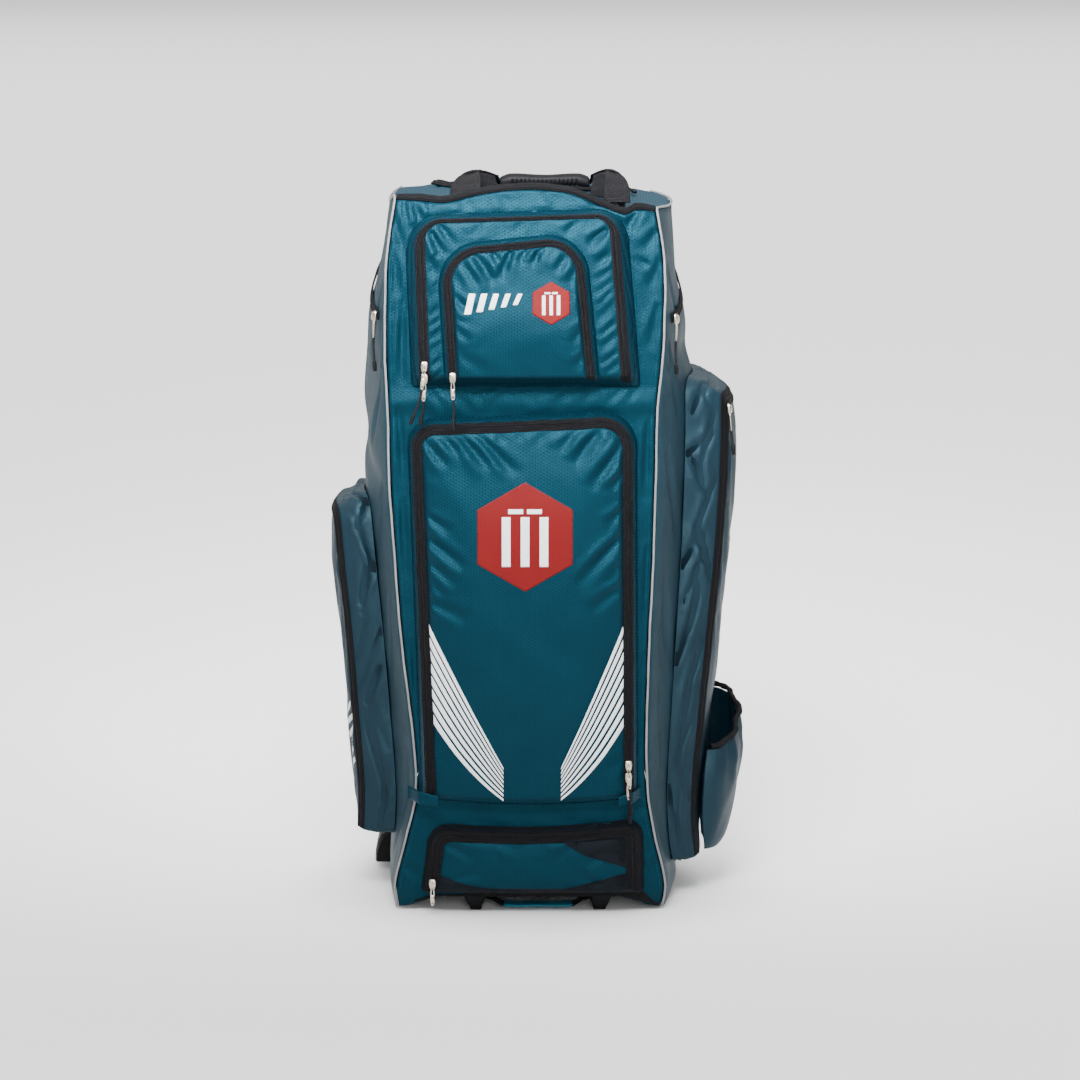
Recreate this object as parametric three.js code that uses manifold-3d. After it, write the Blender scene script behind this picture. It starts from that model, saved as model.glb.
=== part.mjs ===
// A tall soft cricket kit bag that stands on two front feet and two rear wheels.
// Millimetres, +Z up, the front of the bag faces -Y.
import * as THREE from 'three';
import Module from 'manifold-3d';

const wasm = await Module();
wasm.setup();

// Driving dimensions of the body
const bodyHeight = 920;
const halfWidth = 185;
const halfDepth = 165;
const wall = 2.5;
const seam = 0.3;
const fold = 0.6;
const sideGap = 0.8;
const frontCrown = 8;
const backCrown = 6;
const footHeight = 19.5;
const cornerSag = 15;
const pipingRadius = 2.3;
const bindingHeight = 9;
const bindingThickness = 4.5;
const topCrest = 22;

// Driving dimensions of the zips
const zipThickness = 2.2;
const upperZipWidth = 13;
const smallZipWidth = 11;
const mainZipWidth = 13;
const bottomZipWidth = 17;
const sideZipWidth = 12;
const topZipWidth = 14;
const topZipThickness = 4;

// Driving dimensions of the pockets
const upperRise = 24;
const smallRise = 16;
const mainRise = 26;
const bottomRise = 24;
const leftPocketRise = 46;
const rightPocketRise = 48;
const pouchWall = 2;
const pouchHalfDepth = 72;
const pouchRimRadius = 4;

// Driving dimensions of the grips, feet and wheels
const gripLength = 116;
const gripRadius = 9;
const gripCentre = { x: 19, y: -62, z: bodyHeight + 23 };
const webbingThickness = 3;
const footLength = 30;
const liftHandleWidth = 26;
const liftHandleThickness = 4.5;
const liftHandleDrop = 11;
const wheelRadius = 26;
const wheelWidth = 21;
const wheelBore = 5;
const wheelClearance = 1.6;
const axleClearance = 0.4;
const wheelY = 108;
const wheelPairCentre = -6;
const wheelPairHalf = 187;
const housingWall = 5.5;
const housingLength = 92;
const housingSeat = 38;
const housingBottom = 9;
const chamferHeight = 62;

// Driving dimensions of the zip pulls
const sliderLength = 13;
const sliderWidth = 9;
const sliderThickness = 5;
const tabLength = 22;
const tabWidth = 6;
const pullTabThickness = 2.2;
const cordRadius = 1.6;

// Colours from the photograph
const TEAL = { color: 0x1f5c74, roughness: 0.6, metalness: 0 };
const DARK_TEAL = { color: 0x1c4257, roughness: 0.7, metalness: 0 };
const BLACK = { color: 0x1b1c20, roughness: 0.75, metalness: 0 };
const RUBBER = { color: 0x202226, roughness: 0.55, metalness: 0 };
const GREY = { color: 0xb9bcc0, roughness: 0.6, metalness: 0 };
const METAL = { color: 0xc9c6c0, roughness: 0.3, metalness: 1 };

// Half widths of the body, as shares of halfWidth, at shares of bodyHeight.
// left and right are the front corners, leftMid and rightMid the fullest place of each side.
const bodyRows = [
  { at: 0.0, left: 0.935, right: 0.925, leftMid: 1.005, rightMid: 1.055 },
  { at: 0.04, left: 0.95, right: 0.95, leftMid: 1.01, rightMid: 1.05 },
  { at: 0.11, left: 0.865, right: 0.875, leftMid: 0.995, rightMid: 1.025 },
  { at: 0.17, left: 0.8, right: 0.825, leftMid: 1.01, rightMid: 1.04 },
  { at: 0.26, left: 0.82, right: 0.815, leftMid: 1.045, rightMid: 1.08 },
  { at: 0.38, left: 0.89, right: 0.83, leftMid: 1.08, rightMid: 1.115 },
  { at: 0.5, left: 0.935, right: 0.855, leftMid: 1.14, rightMid: 1.15 },
  { at: 0.61, left: 0.97, right: 0.87, leftMid: 1.18, rightMid: 1.17 },
  { at: 0.71, left: 0.98, right: 0.88, leftMid: 1.18, rightMid: 1.17 },
  { at: 0.79, left: 0.995, right: 0.915, leftMid: 1.15, rightMid: 1.115 },
  { at: 0.84, left: 0.995, right: 0.925, leftMid: 1.135, rightMid: 1.085 },
  { at: 0.886, left: 0.99, right: 0.93, leftMid: 1.08, rightMid: 1.03 },
  { at: 0.935, left: 0.975, right: 0.915, leftMid: 1.025, rightMid: 1.01 },
  { at: 1.02, left: 0.915, right: 0.845, leftMid: 0.97, rightMid: 0.99 },
];

// Where the front and back corners lie, as shares of halfDepth
const depthRows = [
  { at: 0.0, front: 0.95, back: 0.94 },
  { at: 0.05, front: 0.99, back: 0.97 },
  { at: 0.3, front: 1.0, back: 1.0 },
  { at: 0.7, front: 1.0, back: 1.0 },
  { at: 0.93, front: 0.985, back: 0.99 },
  { at: 1.02, front: 0.915, back: 0.94 },
];

// Height of the front rim under its binding, from the left corner (-1) to the right (1),
// as shares of bodyHeight above or below it
const rimRows = [
  { at: -1.0, rise: 0.005 },
  { at: -0.8, rise: 0.003 },
  { at: -0.62, rise: 0.001 },
  { at: -0.35, rise: 0.012 },
  { at: -0.08, rise: 0.018 },
  { at: 0.15, rise: 0.018 },
  { at: 0.38, rise: 0.012 },
  { at: 0.62, rise: -0.006 },
  { at: 0.77, rise: -0.015 },
  { at: 0.86, rise: -0.009 },
  { at: 1.0, rise: -0.011 },
];

// Height of the top panel's middle above its side edges, front (0) to back (1), shares of topCrest
const crestRows = [
  { at: 0.0, rise: 1.0 },
  { at: 0.25, rise: 0.3 },
  { at: 0.5, rise: 0.7 },
  { at: 0.75, rise: 1.0 },
  { at: 1.0, rise: 0.3 },
];

// Smooth curve through one column of a table
function smooth(rows, column, at) {
  const last = rows.length - 1;
  const place = Math.min(Math.max(at, rows[0].at), rows[last].at);
  let i = 0;
  while (i < last - 1 && place > rows[i + 1].at) i += 1;
  const slope = (k) => {
    const a = rows[Math.max(k - 1, 0)];
    const b = rows[Math.min(k + 1, last)];
    return (b[column] - a[column]) / (b.at - a.at);
  };
  const span = rows[i + 1].at - rows[i].at;
  const t = (place - rows[i].at) / span;
  const t2 = t * t;
  const t3 = t2 * t;
  const start = (2 * t3 - 3 * t2 + 1) * rows[i][column] + (t3 - 2 * t2 + t) * span * slope(i);
  const end = (3 * t2 - 2 * t3) * rows[i + 1][column] + (t3 - t2) * span * slope(i + 1);
  return start + end;
}

// Step from 0 to 1 with soft ends
function ease(value) {
  const t = Math.min(Math.max(value, 0), 1);
  return t * t * (3 - 2 * t);
}

const mix = (a, b, t) => a + (b - a) * t;

const spaced = (count, from = 0, to = 1) => Array.from({ length: count + 1 }, (_, i) => mix(from, to, i / count));

// Body surface: front corner, fullest place, front and back at height z
const edgeX = (side, z) => side * halfWidth * smooth(bodyRows, side < 0 ? 'left' : 'right', z / bodyHeight);
const middleX = (side, z) => side * halfWidth * smooth(bodyRows, side < 0 ? 'leftMid' : 'rightMid', z / bodyHeight);
const frontEdgeY = (z) => -halfDepth * smooth(depthRows, 'front', z / bodyHeight);
const backEdgeY = (z) => halfDepth * smooth(depthRows, 'back', z / bodyHeight);

// Outer surface of the front panel
function frontY(x, z) {
  const u = (2 * x - edgeX(-1, z) - edgeX(1, z)) / (edgeX(1, z) - edgeX(-1, z));
  return frontEdgeY(z) - frontCrown * (1 - Math.min(u * u, 1));
}

// Outer surface of a side panel
function sideX(side, y, z) {
  const t = Math.min(Math.max((y - frontEdgeY(z)) / (backEdgeY(z) - frontEdgeY(z)), 0), 1);
  const fullness = Math.sin(Math.PI * t) ** 0.75;
  return mix(edgeX(side, z), middleX(side, z), fullness);
}

// Underside of the bag: sagging front corners and a chamfer over the rear wheels
function undersideZ(u, t) {
  const corner = ease((Math.abs(u) - 0.65) / 0.35) * (1 - ease(t / 0.18));
  const chamfer = ease((t - 0.52) / 0.17);
  return mix(footHeight + seam - cornerSag * corner, chamferHeight, chamfer);
}

// Rim of the front panel, where the binding starts
const rimZ = (u) => bodyHeight * (1 + smooth(rimRows, 'rise', u));

// Top panel from side (-1 to 1) and from front to back (0 to 1)
function topZ(u, t) {
  const sideEdge = bodyHeight * mix(0.997, 0.991, (u + 1) / 2);
  const dome = sideEdge + topCrest * smooth(crestRows, 'rise', t) * (1 - u * u);
  return mix(rimZ(u) + bindingHeight * 0.5, dome, ease(t / 0.25));
}

// One closed body through rings of points; a ring's first half is one skin and its second the other
function loft(rings, closed = false) {
  const count = rings[0].length;
  const positions = rings.flat().flatMap((p) => [p.x, p.y, p.z]);
  const faces = [];
  const bands = closed ? rings.length : rings.length - 1;
  for (let i = 0; i < bands; i += 1) {
    const a = i * count;
    const b = ((i + 1) % rings.length) * count;
    for (let j = 0; j < count; j += 1) {
      const k = (j + 1) % count;
      faces.push([a + j, a + k, b + k], [a + j, b + k, b + j]);
    }
  }
  if (!closed) {
    const end = (rings.length - 1) * count;
    for (let j = 0; j < count / 2 - 1; j += 1) {
      const k = count - 1 - j;
      faces.push([j, k, k - 1], [j, k - 1, j + 1]);
      faces.push([end + j, end + k - 1, end + k], [end + j, end + j + 1, end + k - 1]);
    }
  }
  return solid(positions, faces);
}

// One closed body through rings with a pole at each end
function poledLoft(rings, startPole, endPole) {
  const count = rings[0].length;
  const points = rings.flat();
  const start = points.length;
  points.push(startPole, endPole);
  const faces = [];
  const end = (rings.length - 1) * count;
  for (let j = 0; j < count; j += 1) {
    const k = (j + 1) % count;
    faces.push([start, k, j], [start + 1, end + j, end + k]);
    for (let i = 0; i < rings.length - 1; i += 1) {
      const a = i * count;
      const b = a + count;
      faces.push([a + j, a + k, b + k], [a + j, b + k, b + j]);
    }
  }
  return solid(points.flatMap((p) => [p.x, p.y, p.z]), faces);
}

// Geometry with its faces turned outwards
function solid(positions, faces) {
  const corner = (i) => new THREE.Vector3(positions[3 * i], positions[3 * i + 1], positions[3 * i + 2]);
  const volume = faces.reduce((sum, [a, b, c]) => sum + corner(a).dot(corner(b).cross(corner(c))), 0);
  const outward = volume < 0 ? faces.map(([a, b, c]) => [a, c, b]) : faces;
  const geometry = new THREE.BufferGeometry();
  geometry.setAttribute('position', new THREE.Float32BufferAttribute(positions, 3));
  geometry.setIndex(outward.flat());
  return geometry;
}

// Thin curved panel: outer and inner are functions of (u, v)
function panel(us, vs, outer, inner) {
  const rings = vs.map((v) => [
    ...us.map((u) => outer(u, v)),
    ...[...us].reverse().map((u) => inner(u, v)),
  ]);
  return loft(rings);
}

const point = (x, y, z) => new THREE.Vector3(x, y, z);

// Round tube through points, with a flat end at each side
function tube(points, radius, sides = 8) {
  const curve = points.map((p) => p.clone());
  const rings = [];
  let across = null;
  for (let i = 0; i < curve.length; i += 1) {
    const ahead = curve[Math.min(i + 1, curve.length - 1)];
    const behind = curve[Math.max(i - 1, 0)];
    const along = ahead.clone().sub(behind).normalize();
    if (across === null) {
      const helper = Math.abs(along.z) > 0.9 ? point(1, 0, 0) : point(0, 0, 1);
      across = helper.cross(along).normalize();
    }
    across = across.clone().addScaledVector(along, -across.dot(along)).normalize();
    const other = along.clone().cross(across);
    rings.push(spaced(sides - 1, 0, sides - 1).map((k) => {
      const angle = (2 * Math.PI * (k + 0.5)) / sides;
      const ring = curve[i].clone().addScaledVector(across, radius * Math.cos(angle));
      return ring.addScaledVector(other, radius * Math.sin(angle));
    }));
  }
  return loft(rings);
}

const bag = new THREE.Group();

function add(name, geometry, finish) {
  geometry.computeVertexNormals();
  const mesh = new THREE.Mesh(geometry, new THREE.MeshStandardMaterial(finish));
  mesh.name = name;
  bag.add(mesh);
}

// Soft creases of the body's cloth, each pressed inwards along a line.
// across and up are shares of the panel's width (-1 to 1) and of bodyHeight.
const sideFolds = [
  { side: -1, fromY: -0.95, fromZ: 0.77, toY: 0.1, toZ: 0.66, depth: 6, reach: 26 },
  { side: -1, fromY: -0.95, fromZ: 0.6, toY: 0.3, toZ: 0.68, depth: 5, reach: 24 },
  { side: -1, fromY: -0.95, fromZ: 0.25, toY: -0.7, toZ: 0.1, depth: 5, reach: 18 },
  { side: 1, fromY: -0.95, fromZ: 0.8, toY: 0.2, toZ: 0.78, depth: 5, reach: 18 },
  { side: 1, fromY: -0.95, fromZ: 0.5, toY: -0.72, toZ: 0.22, depth: 5, reach: 18 },
  { side: 1, fromY: -0.95, fromZ: 0.2, toY: -0.72, toZ: 0.06, depth: 5, reach: 18 },
];

// Depth of one crease at a distance from its line
function crease(p, from, to, depth, reach) {
  const line = { a: to.a - from.a, b: to.b - from.b };
  const length2 = line.a * line.a + line.b * line.b;
  const t = ((p.a - from.a) * line.a + (p.b - from.b) * line.b) / length2;
  const held = Math.min(Math.max(t, 0), 1);
  const distance = Math.hypot(p.a - from.a - line.a * held, p.b - from.b - line.b * held);
  return depth * Math.exp(-((distance / reach) ** 2)) * Math.sin(Math.PI * (0.1 + 0.8 * held));
}

function foldedSideX(side, y, z) {
  const p = { a: y, b: z };
  const pressed = sideFolds.filter((row) => row.side === side).reduce((sum, row) => {
    const from = { a: row.fromY * halfDepth, b: row.fromZ * bodyHeight };
    const to = { a: row.toY * halfDepth, b: row.toZ * bodyHeight };
    return sum + crease(p, from, to, row.depth, row.reach);
  }, 0);
  const t = (y - frontEdgeY(z)) / (backEdgeY(z) - frontEdgeY(z));
  return sideX(side, y, z) - side * pressed * ease(t / 0.12);
}

// Body panels
const acrossSteps = [-1, -0.9, -0.75, -0.62, -0.35, -0.08, 0.15, 0.38, 0.62, 0.77, 0.86, 0.94, 1];
const heightSteps = [0, 0.04, 0.08, 0.115, 0.15, 0.2, 0.28, 0.38, 0.5, 0.6, 0.7, 0.78, 0.84, 0.89, 0.94, 0.98, 1];
const sideDepths = [0, 0.05, 0.12, 0.22, 0.36, 0.52, 0.6, 0.69, 0.85, 1];
const baseSteps = [-1, -0.82, -0.65, 0, 0.65, 0.82, 1];
const clear = wall + seam;

function frontPoint(u, v, inward) {
  const z = mix(undersideZ(u, 0), rimZ(u), v);
  const x = mix(edgeX(-1, z) + clear, edgeX(1, z) - clear, (u + 1) / 2);
  return point(x, frontY(x, z) + inward, z);
}

function sidePoint(side, t, v, inward) {
  const z = mix(undersideZ(side, t), topZ(side, t) - clear, v);
  const y = mix(frontEdgeY(z) + clear, backEdgeY(z), t);
  return point(foldedSideX(side, y, z) - side * inward, y, z);
}

function backPoint(u, v, inward) {
  const z = mix(undersideZ(u, 1), topZ(u, 1), v);
  const x = mix(edgeX(-1, z) + clear, edgeX(1, z) - clear, (u + 1) / 2);
  return point(x, backEdgeY(z) + backCrown * (1 - u * u) - inward, z);
}

function topPoint(u, t, inward) {
  const z = topZ(u, t);
  const y = mix(frontEdgeY(z) + bindingThickness, backEdgeY(z) - clear, t);
  const left = sideX(-1, y, z) + clear;
  const right = sideX(1, y, z) - clear;
  return point(mix(left, right, (u + 1) / 2), y, z - inward);
}

function basePoint(u, t, inward) {
  const z = undersideZ(u, t) + seam;
  const y = mix(frontEdgeY(z) + clear, backEdgeY(z) - clear, t);
  const left = sideX(-1, y, z) + 2 * clear;
  const right = sideX(1, y, z) - 2 * clear;
  return point(mix(left, right, (u + 1) / 2), y, z + inward);
}

const skin = (place) => (a, b) => place(a, b, 0);
const lining = (place) => (a, b) => place(a, b, wall);
add('front_panel', panel(acrossSteps, heightSteps, skin(frontPoint), lining(frontPoint)), TEAL);
for (const [name, side] of [['side_panel_left', -1], ['side_panel_right', 1]]) {
  const place = (t, v, inward) => sidePoint(side, t, v, inward);
  add(name, panel(sideDepths, heightSteps, skin(place), lining(place)), DARK_TEAL);
}
add('back_panel', panel(spaced(5, -1, 1), heightSteps, skin(backPoint), lining(backPoint)), DARK_TEAL);
add('top_panel', panel(acrossSteps, sideDepths, skin(topPoint), lining(topPoint)), TEAL);
add('base_panel', panel(baseSteps, sideDepths, skin(basePoint), lining(basePoint)), BLACK);

// Piping up each front corner and back along the top
for (const [name, side] of [['piping_left', -1], ['piping_right', 1]]) {
  const bend = 2.5;
  const cornerZ = topZ(side, 0);
  const heights = heightSteps.map((v) => mix(undersideZ(side, 0), rimZ(side), v));
  const upright = [...heights, cornerZ - bend].map((z) => point(edgeX(side, z), frontEdgeY(z), z));
  const level = sideDepths.map((t) => {
    const z = topZ(side, t);
    const y = mix(frontEdgeY(z) + bend, backEdgeY(z) - pipingRadius, t);
    return point(sideX(side, y, z), y, z);
  });
  const turn = upright[upright.length - 1].clone().lerp(level[0], 0.5);
  turn.y -= bend * 0.2;
  turn.z += bend * 0.2;
  add(name, tube([...upright, turn, ...level], pipingRadius, 6), GREY);
}

// Black binding along the front rim
const bindingRings = acrossSteps.map((u) => {
  const z = rimZ(u) + seam;
  const corner = 1 - Math.abs(u);
  const x = mix(edgeX(-1, z) + clear, edgeX(1, z) - clear, (u + 1) / 2);
  const y = frontY(x, z) + seam;
  const height = bindingHeight * mix(0.8, 1, ease(corner / 0.15));
  const back = y + bindingThickness - 2 * seam - frontCrown * 0.1;
  return [point(x, y - 1, z), point(x, y - 1.5, z + height * 0.6), point(x, y + 0.5, z + height),
    point(x, back - 1, z + height), point(x, back - 1.2, z + height * 0.5), point(x, back - 1, z)];
});
add('rim_binding', loft(bindingRings), BLACK);

// How many steps each corner arc and each straight side of a pocket's loop takes,
// from the lower left corner up the left, over the top, down the right and back along the foot
const arcSteps = [1, 4, 4, 1];
const defaultSides = [4, 3, 4, 3];

// A rounded four-sided loop; each side moves in by the inset, with bowed top and bottom.
// A corner of the shape is [x, z, radius].
function outline(shape, inset) {
  const low = inset * (shape.bottomEase ?? 1);
  const high = inset * (shape.topEase ?? 1);
  const sides = shape.sides ?? defaultSides;
  const corners = [
    { x: shape.bl[0] + inset, z: shape.bl[1] + low, r: shape.bl[2], inX: 1, inZ: 1, turn: 270 },
    { x: shape.tl[0] + inset, z: shape.tl[1] - high, r: shape.tl[2], inX: 1, inZ: -1, turn: 180 },
    { x: shape.tr[0] - inset, z: shape.tr[1] - high, r: shape.tr[2], inX: -1, inZ: -1, turn: 90 },
    { x: shape.br[0] - inset, z: shape.br[1] + low, r: shape.br[2], inX: -1, inZ: 1, turn: 0 },
  ];
  const arcs = corners.map((corner, i) => {
    const radius = Math.max(corner.r - inset, 2);
    return spaced(arcSteps[i]).map((t) => {
      const angle = THREE.MathUtils.degToRad(corner.turn - 90 * t);
      return {
        x: corner.x + corner.inX * radius + radius * Math.cos(angle),
        z: corner.z + corner.inZ * radius + radius * Math.sin(angle),
      };
    });
  });
  const loop = arcs.flatMap((arc, i) => {
    const from = arc[arc.length - 1];
    const to = arcs[(i + 1) % arcs.length][0];
    const straight = spaced(sides[i]).slice(1, -1);
    return [...arc, ...straight.map((t) => ({ x: mix(from.x, to.x, t), z: mix(from.z, to.z, t) }))];
  });
  const middle = (shape.bl[0] + shape.br[0]) / 2;
  const half = (shape.br[0] - shape.bl[0]) / 2;
  return loop.map((p) => {
    const u = Math.min(Math.abs(p.x - middle) / half, 1);
    const v = (p.z - shape.bl[1]) / (shape.tl[1] - shape.bl[1]);
    const bow = mix(shape.bottomBow ?? 0, shape.topBow ?? 0, v) * (1 - u * u);
    return { x: p.x, z: p.z + bow };
  });
}

// The loop's run up the left, over the top and down the right, where a zip lies
const runStart = arcSteps[0];
function runEnd(shape) {
  const sides = shape.sides ?? defaultSides;
  return arcSteps[0] + arcSteps[1] + arcSteps[2] + sides[0] + sides[1] + sides[2];
}

// Hollow domed pocket on a surface. rows holds insets from the edge with their rise, then the
// face's rings as shares of the way to its middle.
function domedPocket(shape, rows, faceRows, place, folds = []) {
  const centre = {
    x: (shape.bl[0] + shape.br[0] + shape.tl[0] + shape.tr[0]) / 4,
    z: (shape.bl[1] + shape.br[1] + shape.tl[1] + shape.tr[1]) / 4,
  };
  const lastRow = rows[rows.length - 1];
  const innerLoop = outline(shape, lastRow.inset);
  const pressed = (p) => folds.reduce((sum, row) => {
    const spot = (across, up) => ({
      a: mix(shape.bl[0], shape.br[0], (across + 1) / 2),
      b: mix(shape.bl[1], shape.tl[1], up),
    });
    const from = spot(row.fromX, row.fromZ);
    const to = spot(row.toX, row.toZ);
    return sum + crease({ a: p.x, b: p.z }, from, to, row.depth, row.reach);
  }, 0);
  const layers = [
    ...rows.map((row) => outline(shape, row.inset).map((p) => ({ ...p, rise: row.rise }))),
    ...faceRows.map((row) => innerLoop.map((p) => {
      const spot = { x: mix(p.x, centre.x, row.deep), z: mix(p.z, centre.z, row.deep) };
      return { ...spot, rise: row.rise - pressed(spot) };
    })),
  ];
  const top = faceRows[faceRows.length - 1].rise - pressed(centre);
  const outerRings = layers.map((ring) => ring.map((p) => place(p.x, p.z, fold + p.rise + wall)));
  const innerRings = layers.map((ring) => ring.map((p) => place(p.x, p.z, fold + p.rise)));
  const rings = [...innerRings.reverse(), ...outerRings];
  return poledLoft(rings, place(centre.x, centre.z, fold + top), place(centre.x, centre.z, fold + top + wall));
}

// Flat band laid on a pocket between two insets, along part of its loop
function band(shape, outerRow, innerRow, place) {
  const outer = outline(shape, outerRow.inset);
  const inner = outline(shape, innerRow.inset);
  const rings = [];
  for (let i = runStart; i <= runEnd(shape); i += 1) {
    const a = outer[i];
    const b = inner[i];
    const low = fold + wall + seam;
    rings.push([
      place(a.x, a.z, outerRow.rise + low),
      place(b.x, b.z, innerRow.rise + low),
      place(b.x, b.z, innerRow.rise + low + zipThickness),
      place(a.x, a.z, outerRow.rise + low + zipThickness),
    ]);
  }
  return loft(rings);
}

const onFront = (x, z, rise) => point(x, frontY(x, z) - rise, z);

// Large upper front pocket with its zip
const upperShape = {
  bl: [-151, 688, 4], tl: [-157, 908, 48], tr: [126, 914, 44], br: [141, 688, 4],
  bottomEase: 0.3, topEase: 0.4,
};
const upperRows = [
  { inset: 0, rise: 0 },
  { inset: 4, rise: upperRise * 0.4 },
  { inset: 9, rise: upperRise * 0.74 },
  { inset: 12, rise: upperRise * 0.88 },
  { inset: 12 + upperZipWidth, rise: upperRise },
];
const flatFace = [{ deep: 0.3, rise: upperRise }, { deep: 0.65, rise: upperRise }];
add('upper_pocket', domedPocket(upperShape, upperRows, flatFace, onFront), TEAL);
add('upper_zip', band(upperShape, upperRows[3], upperRows[4], onFront), BLACK);

// Small pocket on the face of the upper pocket
const onUpperPocket = (x, z, rise) => onFront(x, z, upperRise + wall + fold + rise);
const smallShape = {
  bl: [-108, 696, 4], tl: [-115, 876, 56], tr: [76, 884, 54], br: [89, 696, 4],
  bottomEase: 0.3, topEase: 0.8,
};
const smallRows = [
  { inset: 0, rise: 0 },
  { inset: 3, rise: smallRise * 0.35 },
  { inset: 6, rise: smallRise * 0.55 },
  { inset: 6 + smallZipWidth, rise: smallRise * 0.8 },
];
const smallFace = [{ deep: 0.25, rise: smallRise * 0.95 }, { deep: 0.6, rise: smallRise }];
add('small_pocket', domedPocket(smallShape, smallRows, smallFace, onUpperPocket), TEAL);
add('small_zip', band(smallShape, smallRows[2], smallRows[3], onUpperPocket), BLACK);

// Tall main front pocket with its zip
const mainShape = {
  bl: [-140, 153, 4], tl: [-156, 648, 36], tr: [137, 657, 46], br: [140, 153, 4],
  bottomEase: 0.6, topEase: 1, bottomBow: -8, sides: [6, 4, 6, 4],
};
const mainRows = [
  { inset: 0, rise: 0 },
  { inset: 3, rise: mainRise * 0.3 },
  { inset: 6, rise: mainRise * 0.48 },
  { inset: 6 + mainZipWidth, rise: mainRise * 0.66 },
];
const mainFace = [
  { deep: 0.12, rise: mainRise * 0.78 },
  { deep: 0.28, rise: mainRise * 0.9 },
  { deep: 0.48, rise: mainRise },
  { deep: 0.74, rise: mainRise },
];
const mainFolds = [
  { fromX: -0.95, fromZ: 0.98, toX: -0.35, toZ: 0.78, depth: 4, reach: 11 },
  { fromX: -0.6, fromZ: 0.97, toX: -0.2, toZ: 0.82, depth: 4, reach: 10 },
  { fromX: 0.9, fromZ: 0.98, toX: 0.3, toZ: 0.8, depth: 4, reach: 11 },
  { fromX: -0.9, fromZ: 0.72, toX: -0.5, toZ: 0.66, depth: 3, reach: 10 },
  { fromX: 0.9, fromZ: 0.7, toX: 0.5, toZ: 0.62, depth: 3, reach: 10 },
];
add('main_pocket', domedPocket(mainShape, mainRows, mainFace, onFront, mainFolds), TEAL);
add('main_zip', band(mainShape, mainRows[2], mainRows[3], onFront), BLACK);

// Low shoe pocket at the foot of the front
const bottomShape = {
  bl: [-141, 27, 4], tl: [-134, 122, 34], tr: [147, 126, 26], br: [148, 27, 4],
  bottomEase: 0.5, topEase: 0.8, topBow: -9,
};
const bottomRows = [
  { inset: 0, rise: 0 },
  { inset: 3, rise: bottomRise * 0.35 },
  { inset: 6, rise: bottomRise * 0.6 },
  { inset: 6 + bottomZipWidth, rise: bottomRise * 0.92 },
];
const bottomFace = [{ deep: 0.3, rise: bottomRise }, { deep: 0.7, rise: bottomRise * 1.05 }];
add('bottom_pocket', domedPocket(bottomShape, bottomRows, bottomFace, onFront), TEAL);
add('bottom_zip', band(bottomShape, bottomRows[2], bottomRows[3], onFront), BLACK);

// Cloth tabs at the lower ends of the main zip
const zipTabs = [
  { name: 'main_tab_left', fromX: -158, toX: -118, z: 156, height: 17 },
  { name: 'main_tab_right', fromX: 114, toX: 144, z: 156, height: 15 },
];
for (const tab of zipTabs) {
  const lift = mainRise * 0.66 + wall + zipThickness + fold + 2 * seam;
  const rings = spaced(4, tab.fromX, tab.toX).map((x) => {
    const inward = x < 0 ? (x - tab.fromX) / (tab.toX - tab.fromX) : (tab.toX - x) / (tab.toX - tab.fromX);
    const rise = mix(wall * 2, lift, ease(inward / 0.45));
    const low = tab.z - tab.height / 2;
    const high = tab.z + tab.height / 2;
    return [onFront(x, low, rise), onFront(x, high, rise), onFront(x, high, rise + 2), onFront(x, low, rise + 2)];
  });
  add(tab.name, loft(rings), TEAL);
}

// Side pockets: the loop's x runs from front to back, the rise is away from the body
const onSide = (side) => (y, z, rise) => point(foldedSideX(side, y, z) + side * (rise + sideGap), y, z);

const leftShape = {
  bl: [-96, 86, 10], tl: [-92, 536, 40], tr: [104, 536, 40], br: [108, 86, 10],
  bottomEase: 0.15, topEase: 1.2,
};
const leftRows = [
  { inset: 0, rise: 0 },
  { inset: 6, rise: leftPocketRise * 0.4 },
  { inset: 14, rise: leftPocketRise * 0.78 },
  { inset: 14 + sideZipWidth, rise: leftPocketRise * 0.92 },
];
const leftFace = [
  { deep: 0.2, rise: leftPocketRise * 0.98 },
  { deep: 0.55, rise: leftPocketRise },
];
add('left_pocket', domedPocket(leftShape, leftRows, leftFace, onSide(-1)), DARK_TEAL);
add('left_pocket_zip', band(leftShape, leftRows[2], leftRows[3], onSide(-1)), BLACK);

const rightShape = {
  bl: [-102, 50, 10], tl: [-98, 690, 30], tr: [110, 690, 30], br: [112, 50, 44],
  bottomEase: 0.2, topEase: 1.5,
};
const rightRows = [
  { inset: 0, rise: 0 },
  { inset: 6, rise: rightPocketRise * 0.4 },
  { inset: 14, rise: rightPocketRise * 0.76 },
  { inset: 14 + sideZipWidth, rise: rightPocketRise * 0.9 },
];
const rightTaper = (z) => mix(0.72, 1.06, ease((z - 60) / 560));
const onRight = (y, z, rise) => onSide(1)(y, z, rise * rightTaper(z));
const rightFace = [
  { deep: 0.2, rise: rightPocketRise * 0.96 },
  { deep: 0.45, rise: rightPocketRise * 0.97 },
  { deep: 0.72, rise: rightPocketRise * 0.97 },
];
add('right_pocket', domedPocket(rightShape, rightRows, rightFace, onRight), DARK_TEAL);
add('right_pocket_zip', band(rightShape, rightRows[2], rightRows[3], onRight), BLACK);

// Bottle pouch on the right pocket, open at the top
const pouchRows = [
  { at: 0.0, out: 0.06, width: 0.62, z: 54 },
  { at: 0.08, out: 0.5, width: 0.8, z: 58 },
  { at: 0.25, out: 0.82, width: 0.95, z: 88 },
  { at: 0.5, out: 1.0, width: 1.0, z: 140 },
  { at: 0.75, out: 0.98, width: 0.98, z: 185 },
  { at: 1.0, out: 0.78, width: 0.88, z: 222 },
];
const pouchDepth = 47;
const pouchSpread = spaced(12, -90, 90);
const pouchLean = 30;

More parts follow.
